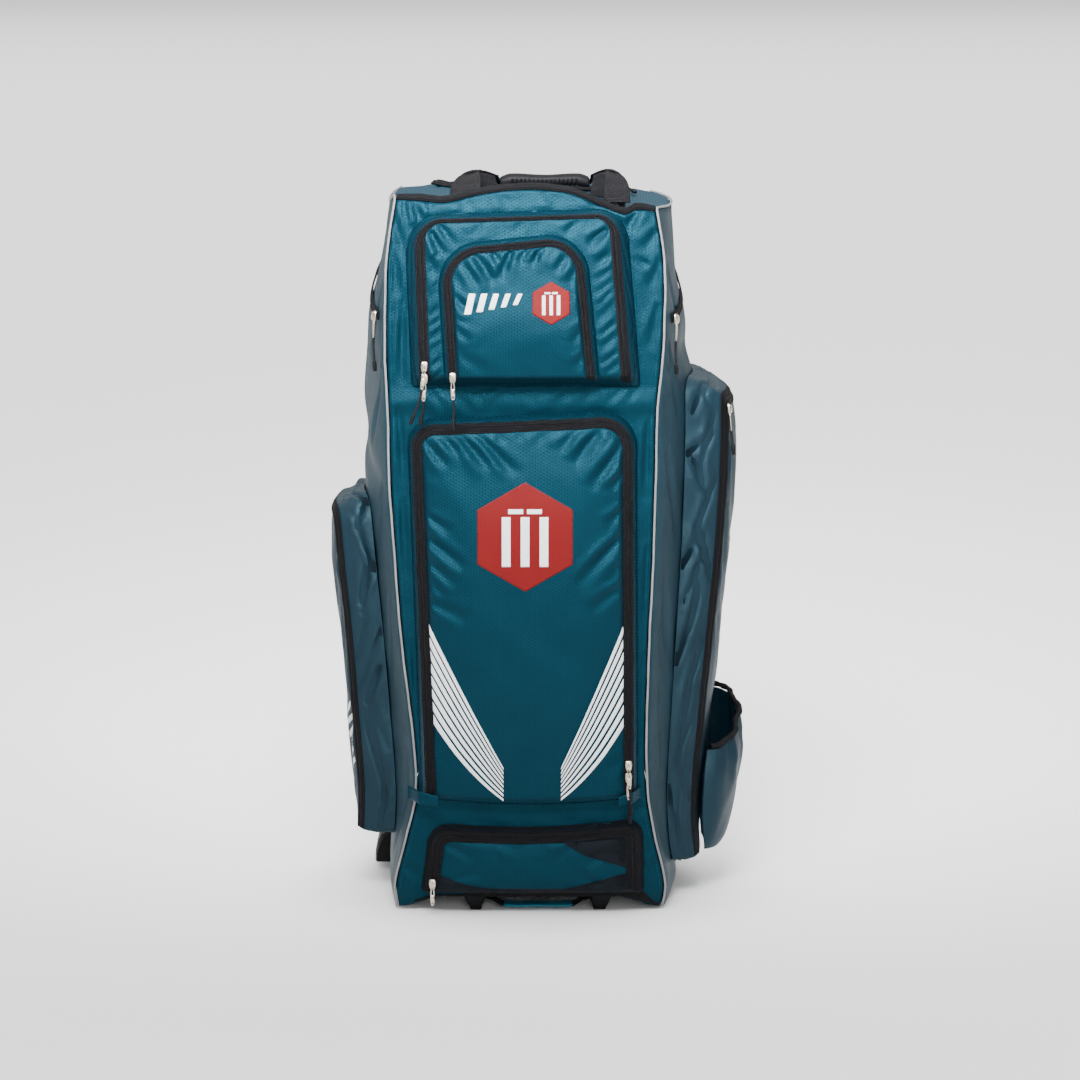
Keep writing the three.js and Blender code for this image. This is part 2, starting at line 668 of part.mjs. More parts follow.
// Pouch surface from front (-90 degrees) to back (90), gathered under the rim
function pouchPoint(angle, at, inward) {
  const radians = THREE.MathUtils.degToRad(angle);
  const lean = pouchLean * Math.sin(radians) * ease((at - 0.4) / 0.6);
  const z = smooth(pouchRows, 'z', at) + lean;
  const gather = 2.5 * Math.sin(THREE.MathUtils.degToRad(angle * 8)) * ease((at - 0.3) / 0.5);
  const half = pouchHalfDepth * smooth(pouchRows, 'width', at);
  const depth = pouchDepth * smooth(pouchRows, 'out', at);
  const y = (half - inward) * Math.sin(radians);
  const face = onRight(y, z, rightPocketRise + wall + 2 * fold).x;
  const out = Math.max(depth + gather - inward, 0) * Math.cos(radians) ** 0.7;
  return point(face + out + fold, y, z);
}
const pouchSkin = (angle, at) => pouchPoint(angle, at, 0);
const pouchLining = (angle, at) => pouchPoint(angle, at, pouchWall);
const pouchSteps = pouchSpread.map((angle) => angle * 0.985);
add('bottle_pouch', panel(pouchSteps, [0, 0.08, 0.25, 0.5, 0.75, 1], pouchSkin, pouchLining), DARK_TEAL);
const rimPath = pouchSpread.map((angle) => {
  const p = pouchPoint(angle * 0.94, 1, pouchWall / 2);
  return point(p.x + pouchRimRadius * 0.3, p.y, p.z + pouchRimRadius + fold);
});
add('pouch_rim', tube(rimPath, pouchRimRadius, 6), BLACK);

// Zips of the bat pockets across the upper sides; front and back are heights as shares of bodyHeight
const sideZipPaths = [
  { name: 'side_zip_left', side: -1, front: 0.8435, back: 0.9043 },
  { name: 'side_zip_right', side: 1, front: 0.8391, back: 0.8978 },
];
for (const path of sideZipPaths) {
  const rings = sideDepths.slice(1, -1).map((t) => {
    const z = bodyHeight * mix(path.front, path.back, ease(t * 1.1));
    const y = mix(frontEdgeY(z) + clear, backEdgeY(z), t);
    const at = (height, rise) => point(foldedSideX(path.side, y, height) + path.side * (1.3 * sideGap + rise), y, height);
    const low = z - sideZipWidth / 2;
    const high = z + sideZipWidth / 2;
    return [at(low, 0), at(high, 0), at(high, zipThickness), at(low, zipThickness)];
  });
  add(path.name, loft(rings), BLACK);
}

// Raised zip in an arc over the top panel
const topZipPath = spaced(16, -1, 1).map((s) => {
  const u = 0.72 * Math.sin((Math.PI / 2) * s);
  const t = mix(0.42, 0.9, Math.abs(s) ** 2.4);
  return { u, t };
});
const topZipRings = topZipPath.map((spot, i) => {
  const centre = topPoint(spot.u, spot.t, 0);
  const ahead = topZipPath[Math.min(i + 1, topZipPath.length - 1)];
  const behind = topZipPath[Math.max(i - 1, 0)];
  const along = topPoint(ahead.u, ahead.t, 0).sub(topPoint(behind.u, behind.t, 0)).setZ(0).normalize();
  const across = point(-along.y, along.x, 0);
  const at = (share, rise) => {
    const p = centre.clone().addScaledVector(across, share * topZipWidth);
    const height = topSurface(p.x, p.y);
    return point(p.x, p.y, height + 2 * fold + rise);
  };
  return [at(-0.5, 0), at(0.5, 0), at(0.3, topZipThickness), at(-0.3, topZipThickness)];
});

// Height of the top panel over a point of the floor
function topSurface(x, y) {
  const z = bodyHeight;
  const t = (y - frontEdgeY(z) - bindingThickness) / (backEdgeY(z) - clear - frontEdgeY(z) - bindingThickness);
  const left = sideX(-1, y, z) + clear;
  const right = sideX(1, y, z) - clear;
  const u = (2 * x - left - right) / (right - left);
  return topZ(Math.min(Math.max(u, -1), 1), Math.min(Math.max(t, 0), 1));
}
add('top_zip', loft(topZipRings), BLACK);

// Ribbed top grip between two folded webbing tabs
const gripRows = [
  { at: 0.0, size: 0.82, lift: -3 },
  { at: 0.12, size: 1.0, lift: 0 },
  { at: 0.5, size: 0.92, lift: -1 },
  { at: 0.88, size: 1.0, lift: 0 },
  { at: 1.0, size: 0.82, lift: -3 },
];
const gripRings = spaced(8).map((s) => {
  const size = gripRadius * smooth(gripRows, 'size', s);
  const x = gripCentre.x + gripLength * (s - 0.5);
  const z = gripCentre.z + smooth(gripRows, 'lift', s);
  return spaced(7, 0, 7).map((k) => {
    const angle = (2 * Math.PI * (k + 0.5)) / 8;
    return point(x, gripCentre.y + 1.35 * size * Math.cos(angle), z + 0.92 * size * Math.sin(angle));
  });
});
add('grip', loft(gripRings), RUBBER);

// Webbing tab from behind the rim binding up to one end of the grip.
// Each row is one crosswise line of the webbing, from its front end to its rear end:
// how far along from the grip's end, how far behind the rim and how far above the body's height.
// The first row stands on the top panel.
const webbingRows = [
  { frontAlong: 62, frontBehind: 9, frontUp: 0, rearAlong: 19, rearBehind: 9, rearUp: 0 },
  { frontAlong: 59, frontBehind: 18, frontUp: 22, rearAlong: 22, rearBehind: 18, rearUp: 27 },
  { frontAlong: 46, frontBehind: 44, frontUp: 34, rearAlong: 24, rearBehind: 78, rearUp: 37 },
  { frontAlong: 22, frontBehind: 62, frontUp: 37, rearAlong: 10, rearBehind: 108, rearUp: 28 },
  { frontAlong: 0, frontBehind: 76, frontUp: 30, rearAlong: 0, rearBehind: 108, rearUp: 16 },
];
const webbingEnds = [
  { name: 'grip_tab_left', side: -1, reach: 1, lift: 0 },
  { name: 'grip_tab_right', side: 1, reach: 0.8, lift: 1 },
];
const rimY = frontEdgeY(bodyHeight) - frontCrown;
for (const tab of webbingEnds) {
  const gripEnd = gripCentre.x + tab.side * (gripLength / 2 + 1.5 * fold);
  const spot = (along, behind, up) => {
    const x = gripEnd + tab.side * along * tab.reach;
    const y = rimY + behind;
    const z = up === 0 ? topSurface(x, y) + seam : bodyHeight + up + tab.lift;
    return point(x, y, z);
  };
  const lines = webbingRows.map((row) => ({
    front: spot(row.frontAlong, row.frontBehind, row.frontUp),
    rear: spot(row.rearAlong, row.rearBehind, row.rearUp),
  }));
  const rings = lines.map((line, i) => {
    const ahead = lines[Math.min(i + 1, lines.length - 1)];
    const behind = lines[Math.max(i - 1, 0)];
    const along = ahead.front.clone().add(ahead.rear).sub(behind.front).sub(behind.rear);
    const across = line.rear.clone().sub(line.front);
    const normal = along.cross(across).normalize().multiplyScalar(webbingThickness / 2);
    const middle = line.front.clone().lerp(line.rear, 0.5);
    return [line.front.clone().add(normal), middle.clone().add(normal), line.rear.clone().add(normal),
      line.rear.clone().sub(normal), middle.clone().sub(normal), line.front.clone().sub(normal)];
  });
  add(tab.name, loft(rings), BLACK);
}

// Front feet: short blocks that narrow downwards
const feet = [
  { name: 'foot_left', fromX: -86, toX: -58, slopeFrom: 8, slopeTo: 5 },
  { name: 'foot_right', fromX: 78, toX: 106, slopeFrom: 4, slopeTo: 7 },
];
const footFront = frontEdgeY(0) - 6;
for (const foot of feet) {
  const section = (x, z, shrink) => [point(x, footFront + shrink, z), point(x, footFront + footLength - shrink, z)];
  const top = [...section(foot.fromX, footHeight, 0), ...section(foot.toX, footHeight, 0).reverse()];
  const bottom = [...section(foot.fromX + foot.slopeFrom, 0, 3), ...section(foot.toX - foot.slopeTo, 0, 3).reverse()];
  add(foot.name, loft([bottom, top]), RUBBER);
}

// Lift handle: a wrapped strap hanging between the feet
const liftRows = [
  { at: 0.0, drop: 0.1 },
  { at: 0.07, drop: 0.35 },
  { at: 0.16, drop: 0.96 },
  { at: 0.5, drop: 1.0 },
  { at: 0.84, drop: 0.96 },
  { at: 0.93, drop: 0.35 },
  { at: 1.0, drop: 0.1 },
];
const liftFrom = feet[0].toX + fold;
const liftTo = feet[1].fromX - fold;
const liftRings = [0, 0.04, 0.08, 0.12, 0.17, 0.3, 0.5, 0.7, 0.83, 0.88, 0.92, 0.96, 1].map((s) => {
  const x = mix(liftFrom, liftTo, s);
  const z = footHeight - seam - liftHandleThickness / 2 - liftHandleDrop * Math.max(smooth(liftRows, 'drop', s), 0.02);
  const y = footFront + footLength / 2;
  const half = liftHandleWidth / 2;
  const thick = liftHandleThickness / 2;
  return [point(x, y - half, z + thick * 0.6), point(x, y, z + thick), point(x, y + half, z + thick * 0.6),
    point(x, y + half, z - thick * 0.6), point(x, y, z - thick), point(x, y - half, z - thick * 0.6)];
});
add('lift_handle', loft(liftRings), TEAL);

// Boolean work on closed geometries
function toManifold(geometry) {
  const vertProperties = new Float32Array(geometry.attributes.position.array);
  const triVerts = new Uint32Array(geometry.index.array);
  return new wasm.Manifold(new wasm.Mesh({ numProp: 3, vertProperties, triVerts }));
}

function fromManifold(manifold) {
  const mesh = manifold.getMesh();
  const geometry = new THREE.BufferGeometry();
  geometry.setAttribute('position', new THREE.Float32BufferAttribute(mesh.vertProperties, 3));
  geometry.setIndex([...mesh.triVerts]);
  return geometry;
}

// Round bar along X
function barX(x0, x1, y, z, radius, sides) {
  const ring = (x) => spaced(sides - 1, 0, sides - 1).map((k) => {
    const angle = (2 * Math.PI * (k + 0.5)) / sides;
    return point(x, y + radius * Math.cos(angle), z + radius * Math.sin(angle));
  });
  return loft([ring(x0), ring(x1)]);
}

// Rear wheels on pins inside moulded housings that the chamfered base sits on
const housingTop = chamferHeight - seam;
for (const [end, side] of [['left', -1], ['right', 1]]) {
  const centreX = wheelPairCentre + side * wheelPairHalf;
  const inner = centreX - side * (wheelWidth / 2);
  const outer = centreX + side * (wheelWidth / 2);
  const wallIn = inner - side * (wheelClearance + housingSeat);
  const wallOut = outer + side * (wheelClearance + housingWall);
  const rib = inner - side * (wheelClearance + housingWall);
  const profile = [
    [wallOut, housingBottom], [wallOut, housingTop * 0.36], [wallOut - side * 3, housingTop * 0.56],
    [wallOut - side * 9, housingTop * 0.78], [wallOut - side * 19, housingTop], [wallIn, housingTop],
    [wallIn, housingTop - housingWall], [rib, housingBottom],
  ];
  const slice = (y, shrink) => profile.map(([x, z]) => point(
    mix(x, centreX, shrink), y, mix(z, housingBottom, shrink * 1.6)));
  const from = wheelY - housingLength / 2;
  const to = wheelY + housingLength / 2;
  const block = loft([slice(from, 0.12), slice(from + 9, 0), slice(to - 9, 0), slice(to, 0.12)]);
  const recessRadius = wheelRadius + 2 * wheelClearance;
  const recess = barX(inner - side * wheelClearance, outer + side * wheelClearance, wheelY, wheelRadius, recessRadius, 20);
  const pin = barX(rib + side * 1, wallOut - side * 1, wheelY, wheelRadius, wheelBore - axleClearance, 10);
  const housing = toManifold(block).subtract(toManifold(recess)).add(toManifold(pin));
  add(`wheel_housing_${end}`, fromManifold(housing), RUBBER);
  const sides = 20;
  const ring = (x, radius) => spaced(sides - 1, 0, sides - 1).map((k) => {
    const angle = (2 * Math.PI * (k + 0.5)) / sides;
    return point(x, wheelY + radius * Math.cos(angle), wheelRadius + radius * Math.sin(angle));
  });
  const trueRadius = wheelRadius / Math.cos(Math.PI / sides);
  const bevel = 3;
  const wheelRings = [
    ring(inner, wheelBore), ring(inner, trueRadius - bevel), ring(inner + side * bevel, trueRadius),
    ring(outer - side * bevel, trueRadius), ring(outer, trueRadius - bevel), ring(outer, wheelBore),
  ];
  add(`wheel_${end}`, loft(wheelRings, true), RUBBER);
}

// Zip pulls: a metal slider that sits on its zip, its tab, and a short cord below it.
// share is how far across the zip the slider's high edge lies, hop is how far the tab stands
// out over the slider below it, and lean is how far sideways the cord's end hangs.
const hop = sliderThickness + fold;
const overTab = 4;
const pulls = [
  { name: 'upper_a', x: -133, z: 724, rows: upperRows, place: onFront, share: 0.85, cord: 44, lean: -18, hop },
  { name: 'upper_b', x: -133, z: 708, rows: upperRows, place: onFront, share: 0.85, cord: 30, lean: -5, hop: 0 },
  { name: 'small', x: -97, z: 712, rows: smallRows, place: onUpperPocket, share: 0.9, cord: 38, lean: 2, hop: 0 },
  { name: 'main_a', x: 127, z: 206, rows: mainRows, place: onFront, share: 0.8, cord: 34, lean: 4, hop: hop + overTab },
  { name: 'main_b', x: 127, z: 190, rows: mainRows, place: onFront, share: 0.8, cord: 30, lean: 2, hop: overTab },
  { name: 'bottom', x: -126, z: 50, rows: bottomRows, place: onFront, share: 0.7, cord: 0, lean: 0, hop: 0 },
];
const sidePulls = sideZipPaths.map((path) => ({
  name: path.name.replace('zip_', ''), side: path.side, y: -0.85 * halfDepth, z: path.front * bodyHeight + 6, cord: 42,
}));

// Slider and tab as one flat solid running down from (x, z)
function pullSolid(at) {
  const rows = [
    { down: 0, half: 0.3, low: 0, high: 1 },
    { down: 0.25, half: 0.5, low: 0, high: 1 },
    { down: 0.85, half: 0.42, low: 0, high: 1 },
    { down: 1, half: 0.3, low: 0.2, high: 0.8 },
  ];
  const rings = rows.map((row) => {
    const low = row.low * sliderThickness;
    const high = row.high * sliderThickness;
    return [at(-row.half * sliderWidth, row.down * sliderLength, low), at(row.half * sliderWidth, row.down * sliderLength, low),
      at(row.half * sliderWidth, row.down * sliderLength, high), at(-row.half * sliderWidth, row.down * sliderLength, high)];
  });
  const tabLow = (sliderThickness - pullTabThickness) / 2;
  for (const [down, half] of [[0.1, 0.35], [0.3, 0.5], [0.8, 0.5], [1, 0.35]]) {
    const drop = sliderLength + down * tabLength;
    const reach = half * tabWidth;
    const high = tabLow + pullTabThickness;
    rings.push([at(-reach, drop, tabLow), at(reach, drop, tabLow), at(reach, drop, high), at(-reach, drop, high)]);
  }
  return loft(rings);
}

function addPull(name, at, cordLength) {
  add(`pull_${name}`, pullSolid(at), METAL);
  if (cordLength === 0) return;
  const start = sliderLength + tabLength + seam + 0.2;
  const middle = sliderThickness / 2;
  const route = spaced(5).map((s) => at(0.6 * Math.sin(s * Math.PI * 2), start + s * cordLength, middle));
  add(`cord_${name}`, tube(route, cordRadius, 8), BLACK);
}

for (const pull of pulls) {
  const length = sliderLength + tabLength + pull.cord;
  const zip = pull.rows.slice(-2);
  const stand = mix(zip[0].rise, zip[1].rise, pull.share) + fold + wall + seam + zipThickness + seam;
  const corners = [-1, 1].flatMap((side) => [0, sliderLength].map((down) => (
    pull.place(pull.x + side * sliderWidth * 0.5, pull.z - down, stand).y)));
  const seat = Math.min(...corners);
  addPull(pull.name, (side, down, out) => {
    const outward = out + pull.hop * ease((down - sliderLength * 0.9) / 4);
    return point(pull.x + side + pull.lean * (down / length) ** 2, seat - outward, pull.z - down);
  }, pull.cord);
}

for (const pull of sidePulls) {
  const stand = 1.3 * sideGap + zipThickness + fold;
  addPull(pull.name, (across, down, out) => {
    const z = pull.z - down;
    const x = foldedSideX(pull.side, pull.y + across, z) + pull.side * (stand + out);
    return point(x, pull.y + across, z);
  }, pull.cord);
}

// Pull of the right pocket hangs from the top of its zip
const rightPull = { y: -82, z: rightShape.tl[1] - 35, cord: 30 };
addPull('pocket', (across, down, out) => {
  const stand = wall + zipThickness + fold + 1.5;
  const x = onRight(rightPull.y, rightPull.z - 20, rightPocketRise * 0.84).x + stand;
  return point(x + out + down * 0.1, rightPull.y + across - down * 0.1, rightPull.z - down);
}, rightPull.cord);

// Pull of the top zip sits on the arc's right run and lies forward beside the right tab
const topPull = { x: 117, y: 58, cord: 32, aside: 0.3 };
const topPullSeat = topSurface(topPull.x, topPull.y) + 2 * fold + topZipThickness + fold;
addPull('top', (across, down, out) => {
  const x = topPull.x + topPull.aside * down + across;
  const y = topPull.y - down + topPull.aside * across;
  const rest = topSurface(x, y) + fold * 4;
  return point(x, y, mix(topPullSeat, rest, ease((down - sliderLength) / tabLength)) + out);
}, topPull.cord);

// The origin is the middle of the bottom of everything
const box = new THREE.Box3().setFromObject(bag);
const middle = box.getCenter(new THREE.Vector3());
bag.position.set(-middle.x, -middle.y, -box.min.z);

const kitBag = new THREE.Group();
kitBag.add(bag);
export default kitBag;
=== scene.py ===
import math

import bmesh
import bpy
import numpy as np
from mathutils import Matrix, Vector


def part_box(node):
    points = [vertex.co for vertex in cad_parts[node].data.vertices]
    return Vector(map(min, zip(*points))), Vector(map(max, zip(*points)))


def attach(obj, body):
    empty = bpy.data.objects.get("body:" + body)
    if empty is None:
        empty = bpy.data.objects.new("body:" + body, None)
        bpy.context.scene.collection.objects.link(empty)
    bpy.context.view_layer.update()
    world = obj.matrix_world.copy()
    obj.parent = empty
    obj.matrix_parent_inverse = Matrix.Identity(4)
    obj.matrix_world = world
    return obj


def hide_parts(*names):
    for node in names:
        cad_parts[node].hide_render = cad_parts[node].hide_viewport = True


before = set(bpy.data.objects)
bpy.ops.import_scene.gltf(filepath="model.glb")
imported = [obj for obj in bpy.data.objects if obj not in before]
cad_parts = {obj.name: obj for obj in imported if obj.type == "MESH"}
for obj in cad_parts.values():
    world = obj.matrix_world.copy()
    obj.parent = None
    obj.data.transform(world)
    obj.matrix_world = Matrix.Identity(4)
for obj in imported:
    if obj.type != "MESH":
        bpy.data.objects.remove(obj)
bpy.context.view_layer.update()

# Measures are millimetres in the axes of the bag's own drawing; framed() turns them into the frame's metres.
MM = 0.001
BAG_MIDDLE = -6.0
WHEEL_OUT = 187.0
WHEEL_BACK = 108.0
wheel_low, wheel_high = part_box("wheel_left")
SHIFT = np.array([
    (wheel_low.x + wheel_high.x) / 2 / MM - (BAG_MIDDLE - WHEEL_OUT),
    (wheel_low.y + wheel_high.y) / 2 / MM - WHEEL_BACK,
    0.0,
])

# Driving dimensions, as in the part's source
BODY_HEIGHT = 920
HALF_WIDTH = 185
HALF_DEPTH = 165
WALL = 2.5
SEAM = 0.3
FOLD = 0.6
SIDE_GAP = 0.8
FRONT_CROWN = 8
BACK_CROWN = 6
FOOT_HEIGHT = 19.5
CORNER_SAG = 15
PIPING_RADIUS = 2.3
BINDING_HEIGHT = 9
BINDING_THICKNESS = 4.5
TOP_CREST = 22
CHAMFER_HEIGHT = 62
CLEAR = WALL + SEAM
ZIP_THICKNESS = 2.2
UPPER_ZIP_WIDTH = 13
SMALL_ZIP_WIDTH = 11
MAIN_ZIP_WIDTH = 13
BOTTOM_ZIP_WIDTH = 17
SIDE_ZIP_WIDTH = 12
TOP_ZIP_WIDTH = 14
TOP_ZIP_THICKNESS = 4
UPPER_RISE = 24
SMALL_RISE = 16
MAIN_RISE = 26
BOTTOM_RISE = 24
LEFT_POCKET_RISE = 46
RIGHT_POCKET_RISE = 48
POUCH_WALL = 2
POUCH_HALF_DEPTH = 72
POUCH_DEPTH = 47
POUCH_LEAN = 30
POUCH_RIM_RADIUS = 4
GRIP_LENGTH = 116
GRIP_RADIUS = 9
GRIP_CENTRE = (19, -62, 943)
WEBBING_THICKNESS = 3
FOOT_LENGTH = 30
LIFT_WIDTH = 26
LIFT_THICKNESS = 4.5
LIFT_DROP = 11
WHEEL_RADIUS = 26
WHEEL_BORE = 5
SLIDER_LENGTH = 13
SLIDER_WIDTH = 9
SLIDER_THICKNESS = 5
TAB_LENGTH = 22
TAB_WIDTH = 6
CORD_RADIUS = 1.6
CORD_GAP = 0.5


def table(columns, *rows):
    """Named columns of a short table of numbers."""
    return {name: np.array(values, float) for name, values in zip(columns.split(), zip(*rows))}


# Half widths of the body as shares of HALF_WIDTH, at shares of BODY_HEIGHT
BODY = table(
    "at left right left_mid right_mid",
    (0.0, 0.935, 0.925, 1.005, 1.055),
    (0.04, 0.95, 0.95, 1.01, 1.05),
    (0.11, 0.865, 0.875, 0.995, 1.025),
    (0.17, 0.8, 0.825, 1.01, 1.04),
    (0.26, 0.82, 0.815, 1.045, 1.08),
    (0.38, 0.89, 0.83, 1.08, 1.115),
    (0.5, 0.935, 0.855, 1.14, 1.15),
    (0.61, 0.97, 0.87, 1.18, 1.17),
    (0.71, 0.98, 0.88, 1.18, 1.17),
    (0.79, 0.995, 0.915, 1.15, 1.115),
    (0.84, 0.995, 0.925, 1.135, 1.085),
    (0.886, 0.99, 0.93, 1.08, 1.03),
    (0.935, 0.975, 0.915, 1.025, 1.01),
    (1.02, 0.915, 0.845, 0.97, 0.99),
)

# Front and back corners as shares of HALF_DEPTH
DEPTH = table(
    "at front back",
    (0.0, 0.95, 0.94),
    (0.05, 0.99, 0.97),
    (0.3, 1.0, 1.0),
    (0.7, 1.0, 1.0),
    (0.93, 0.985, 0.99),
    (1.02, 0.915, 0.94),
)

# Height of the front rim across the bag, as shares of BODY_HEIGHT above it
RIM = table(
    "at rise",
    (-1.0, 0.005), (-0.8, 0.003), (-0.62, 0.001), (-0.35, 0.012), (-0.08, 0.018), (0.15, 0.018),
    (0.38, 0.012), (0.62, -0.006), (0.77, -0.015), (0.86, -0.009), (1.0, -0.011),
)

# Height of the top panel's middle from front to back, as shares of TOP_CREST
CREST = table("at rise", (0.0, 1.0), (0.25, 0.3), (0.5, 0.7), (0.75, 1.0), (1.0, 0.3))

# Large creases of the side panels, as in the part's source
SIDE_FOLDS = [
    dict(side=-1, from_y=-0.95, from_z=0.77, to_y=0.1, to_z=0.66, depth=6, reach=26),
    dict(side=-1, from_y=-0.95, from_z=0.6, to_y=0.3, to_z=0.68, depth=5, reach=24),
    dict(side=-1, from_y=-0.95, from_z=0.25, to_y=-0.7, to_z=0.1, depth=5, reach=18),
    dict(side=1, from_y=-0.95, from_z=0.8, to_y=0.2, to_z=0.78, depth=5, reach=18),
    dict(side=1, from_y=-0.95, from_z=0.5, to_y=-0.72, to_z=0.22, depth=5, reach=18),
    dict(side=1, from_y=-0.95, from_z=0.2, to_y=-0.72, to_z=0.06, depth=5, reach=18),
]


def smooth(rows, column, at):
    """Smooth curve through one column of a table."""
    xs, ys = rows["at"], rows[column]
    last = len(xs) - 1
    place = np.clip(np.asarray(at, float), xs[0], xs[-1])
    i = np.searchsorted(xs[1:-1], place, side="left")
    ahead = np.minimum(np.arange(last + 1) + 1, last)
    behind = np.maximum(np.arange(last + 1) - 1, 0)
    slope = (ys[ahead] - ys[behind]) / (xs[ahead] - xs[behind])
    span = xs[i + 1] - xs[i]
    t = (place - xs[i]) / span
    start = (2 * t**3 - 3 * t**2 + 1) * ys[i] + (t**3 - 2 * t**2 + t) * span * slope[i]
    end = (3 * t**2 - 2 * t**3) * ys[i + 1] + (t**3 - t**2) * span * slope[i + 1]
    return start + end


def ease(value):
    t = np.clip(value, 0, 1)
    return t * t * (3 - 2 * t)


def mix(a, b, t):
    return a + (b - a) * t


def ring_angles(count):
    """Evenly spaced angles round a section, with no point straight up or across."""
    return 2 * np.pi * (np.arange(count) + 0.5) / count


def squared(value, power):
    """A sine or cosine drawn out towards a square; the lower the power, the squarer."""
    return np.sign(value) * np.abs(value) ** power


def edge_x(side, z):
    return side * HALF_WIDTH * smooth(BODY, "left" if side < 0 else "right", z / BODY_HEIGHT)


def middle_x(side, z):
    return side * HALF_WIDTH * smooth(BODY, "left_mid" if side < 0 else "right_mid", z / BODY_HEIGHT)


def front_edge_y(z):
    return -HALF_DEPTH * smooth(DEPTH, "front", z / BODY_HEIGHT)


def back_edge_y(z):
    return HALF_DEPTH * smooth(DEPTH, "back", z / BODY_HEIGHT)


def share_across(x, z):
    """-1 at the front's left corner and 1 at its right."""
    return (2 * x - edge_x(-1, z) - edge_x(1, z)) / (edge_x(1, z) - edge_x(-1, z))


def across_body(u, z):
    """Where a front or back panel is at u, from -1 at its left seam to 1 at its right."""
    return mix(edge_x(-1, z) + CLEAR, edge_x(1, z) - CLEAR, (u + 1) / 2)


def front_y(x, z):
    u = share_across(x, z)
    return front_edge_y(z) - FRONT_CROWN * (1 - np.minimum(u * u, 1))


def side_x(side, y, z):
    t = np.clip((y - front_edge_y(z)) / (back_edge_y(z) - front_edge_y(z)), 0, 1)
    return mix(edge_x(side, z), middle_x(side, z), np.sin(np.pi * t) ** 0.75)


def underside_z(u, t):
    corner = ease((np.abs(u) - 0.65) / 0.35) * (1 - ease(t / 0.18))
    return mix(FOOT_HEIGHT + SEAM - CORNER_SAG * corner, CHAMFER_HEIGHT, ease((t - 0.52) / 0.17))


def rim_z(u):
    return BODY_HEIGHT * (1 + smooth(RIM, "rise", u))


def top_z(u, t):
    side_edge = BODY_HEIGHT * mix(0.997, 0.991, (u + 1) / 2)
    dome = side_edge + TOP_CREST * smooth(CREST, "rise", t) * (1 - u * u)
    return mix(rim_z(u) + BINDING_HEIGHT * 0.5, dome, ease(t / 0.25))


def along_line(a, b, start, end):
    """Share along a line of each point, held to its ends, and the signed distance from it."""
    line = (end[0] - start[0], end[1] - start[1])
    length = math.hypot(*line)
    t = ((a - start[0]) * line[0] + (b - start[1]) * line[1]) / length**2
    held = np.clip(t, 0, 1)
    off_a = a - start[0] - line[0] * held
    off_b = b - start[1] - line[1] * held
    sign = np.where(off_a * line[1] - off_b * line[0] >= 0, 1.0, -1.0)
    return held, np.hypot(off_a, off_b) * sign


def crease(a, b, start, end, depth, reach):
    held, distance = along_line(a, b, start, end)
    return depth * np.exp(-((distance / reach) ** 2)) * np.sin(np.pi * (0.1 + 0.8 * held))


def folded_side_x(side, y, z):
    pressed = 0.0
    for row in SIDE_FOLDS:
        if row["side"] == side:
            start = (row["from_y"] * HALF_DEPTH, row["from_z"] * BODY_HEIGHT)
            end = (row["to_y"] * HALF_DEPTH, row["to_z"] * BODY_HEIGHT)
            pressed = pressed + crease(y, z, start, end, row["depth"], row["reach"])
    t = (y - front_edge_y(z)) / (back_edge_y(z) - front_edge_y(z))
    return side_x(side, y, z) - side * pressed * ease(t / 0.12)


def pleats(a, b, folds):
    """Height of a table of sharp folds, each a valley with a ridge beside it.

    A row is start a, start b, end a, end b, height and width; a point of the cloth is (a, b)."""
    total = np.zeros(np.broadcast(a, b).shape)
    for start_a, start_b, end_a, end_b, height, width in folds:
        held, distance = along_line(a, b, (start_a, start_b), (end_a, end_b))
        fade = np.sin(np.pi * np.clip(0.12 + 0.88 * held, 0, 1)) ** 0.6
        q = distance / (width * mix(0.7, 1.3, held))
        shape = 0.75 * np.exp(-((q - 1.2) ** 2)) - np.exp(-(q**2)) + 0.35 * np.exp(-((q + 1.5) ** 2))
        reach = np.exp(-((np.maximum(np.abs(distance) - 3 * width, 0) / width) ** 2))
        total = total + height * shape * fade * reach
    return total


def ripple(a, b, length, phase):
    """Gentle unevenness of cloth, without repeats at the scale of one panel."""
    first = np.sin(2 * np.pi * a / length + phase + 1.7 * np.sin(3.1 * b / length + phase))
    second = np.sin(4.4 * b / length + 2.1 * phase + 1.3 * np.sin(2.7 * a / length + 0.5 * phase))
    third = np.sin(3.3 * (a + b) / length + 1.9 * phase)
    return (first * second + 0.5 * third) / 1.5


def pucker(along, inward, pitch, reach, phase):
    """Small gathers of a sewn edge: waves along the seam that die away from it."""
    wander = 1.4 * np.sin(along / (2.7 * pitch) + phase) + 0.8 * np.sin(along / (6.1 * pitch) + 2 * phase)
    strength = 0.6 + 0.4 * np.sin(along / (4.3 * pitch) + 3 * phase)
    return np.sin(2 * np.pi * along / pitch + wander) * strength * np.exp(-inward / reach)


def crinkles(seed, length, width, height):
    """Seeded folds that wander along a strip of cloth of that length and width."""
    chance = np.random.default_rng(seed)
    rows = []
    count = int(length / max(width, 12) / 0.85)
    for k in range(count):
        start = length * (k + chance.uniform(0, 1)) / count
        run = chance.uniform(0.9, 2.6) * max(width, 12)
        low, high = chance.uniform(-0.1, 0.45), chance.uniform(0.55, 1.1)
        if chance.uniform() < 0.5:
            low, high = high, low
        rows.append((start, low * width, start + run, high * width,
                     height * chance.uniform(0.45, 1.0), width * chance.uniform(0.09, 0.17)))
    return rows


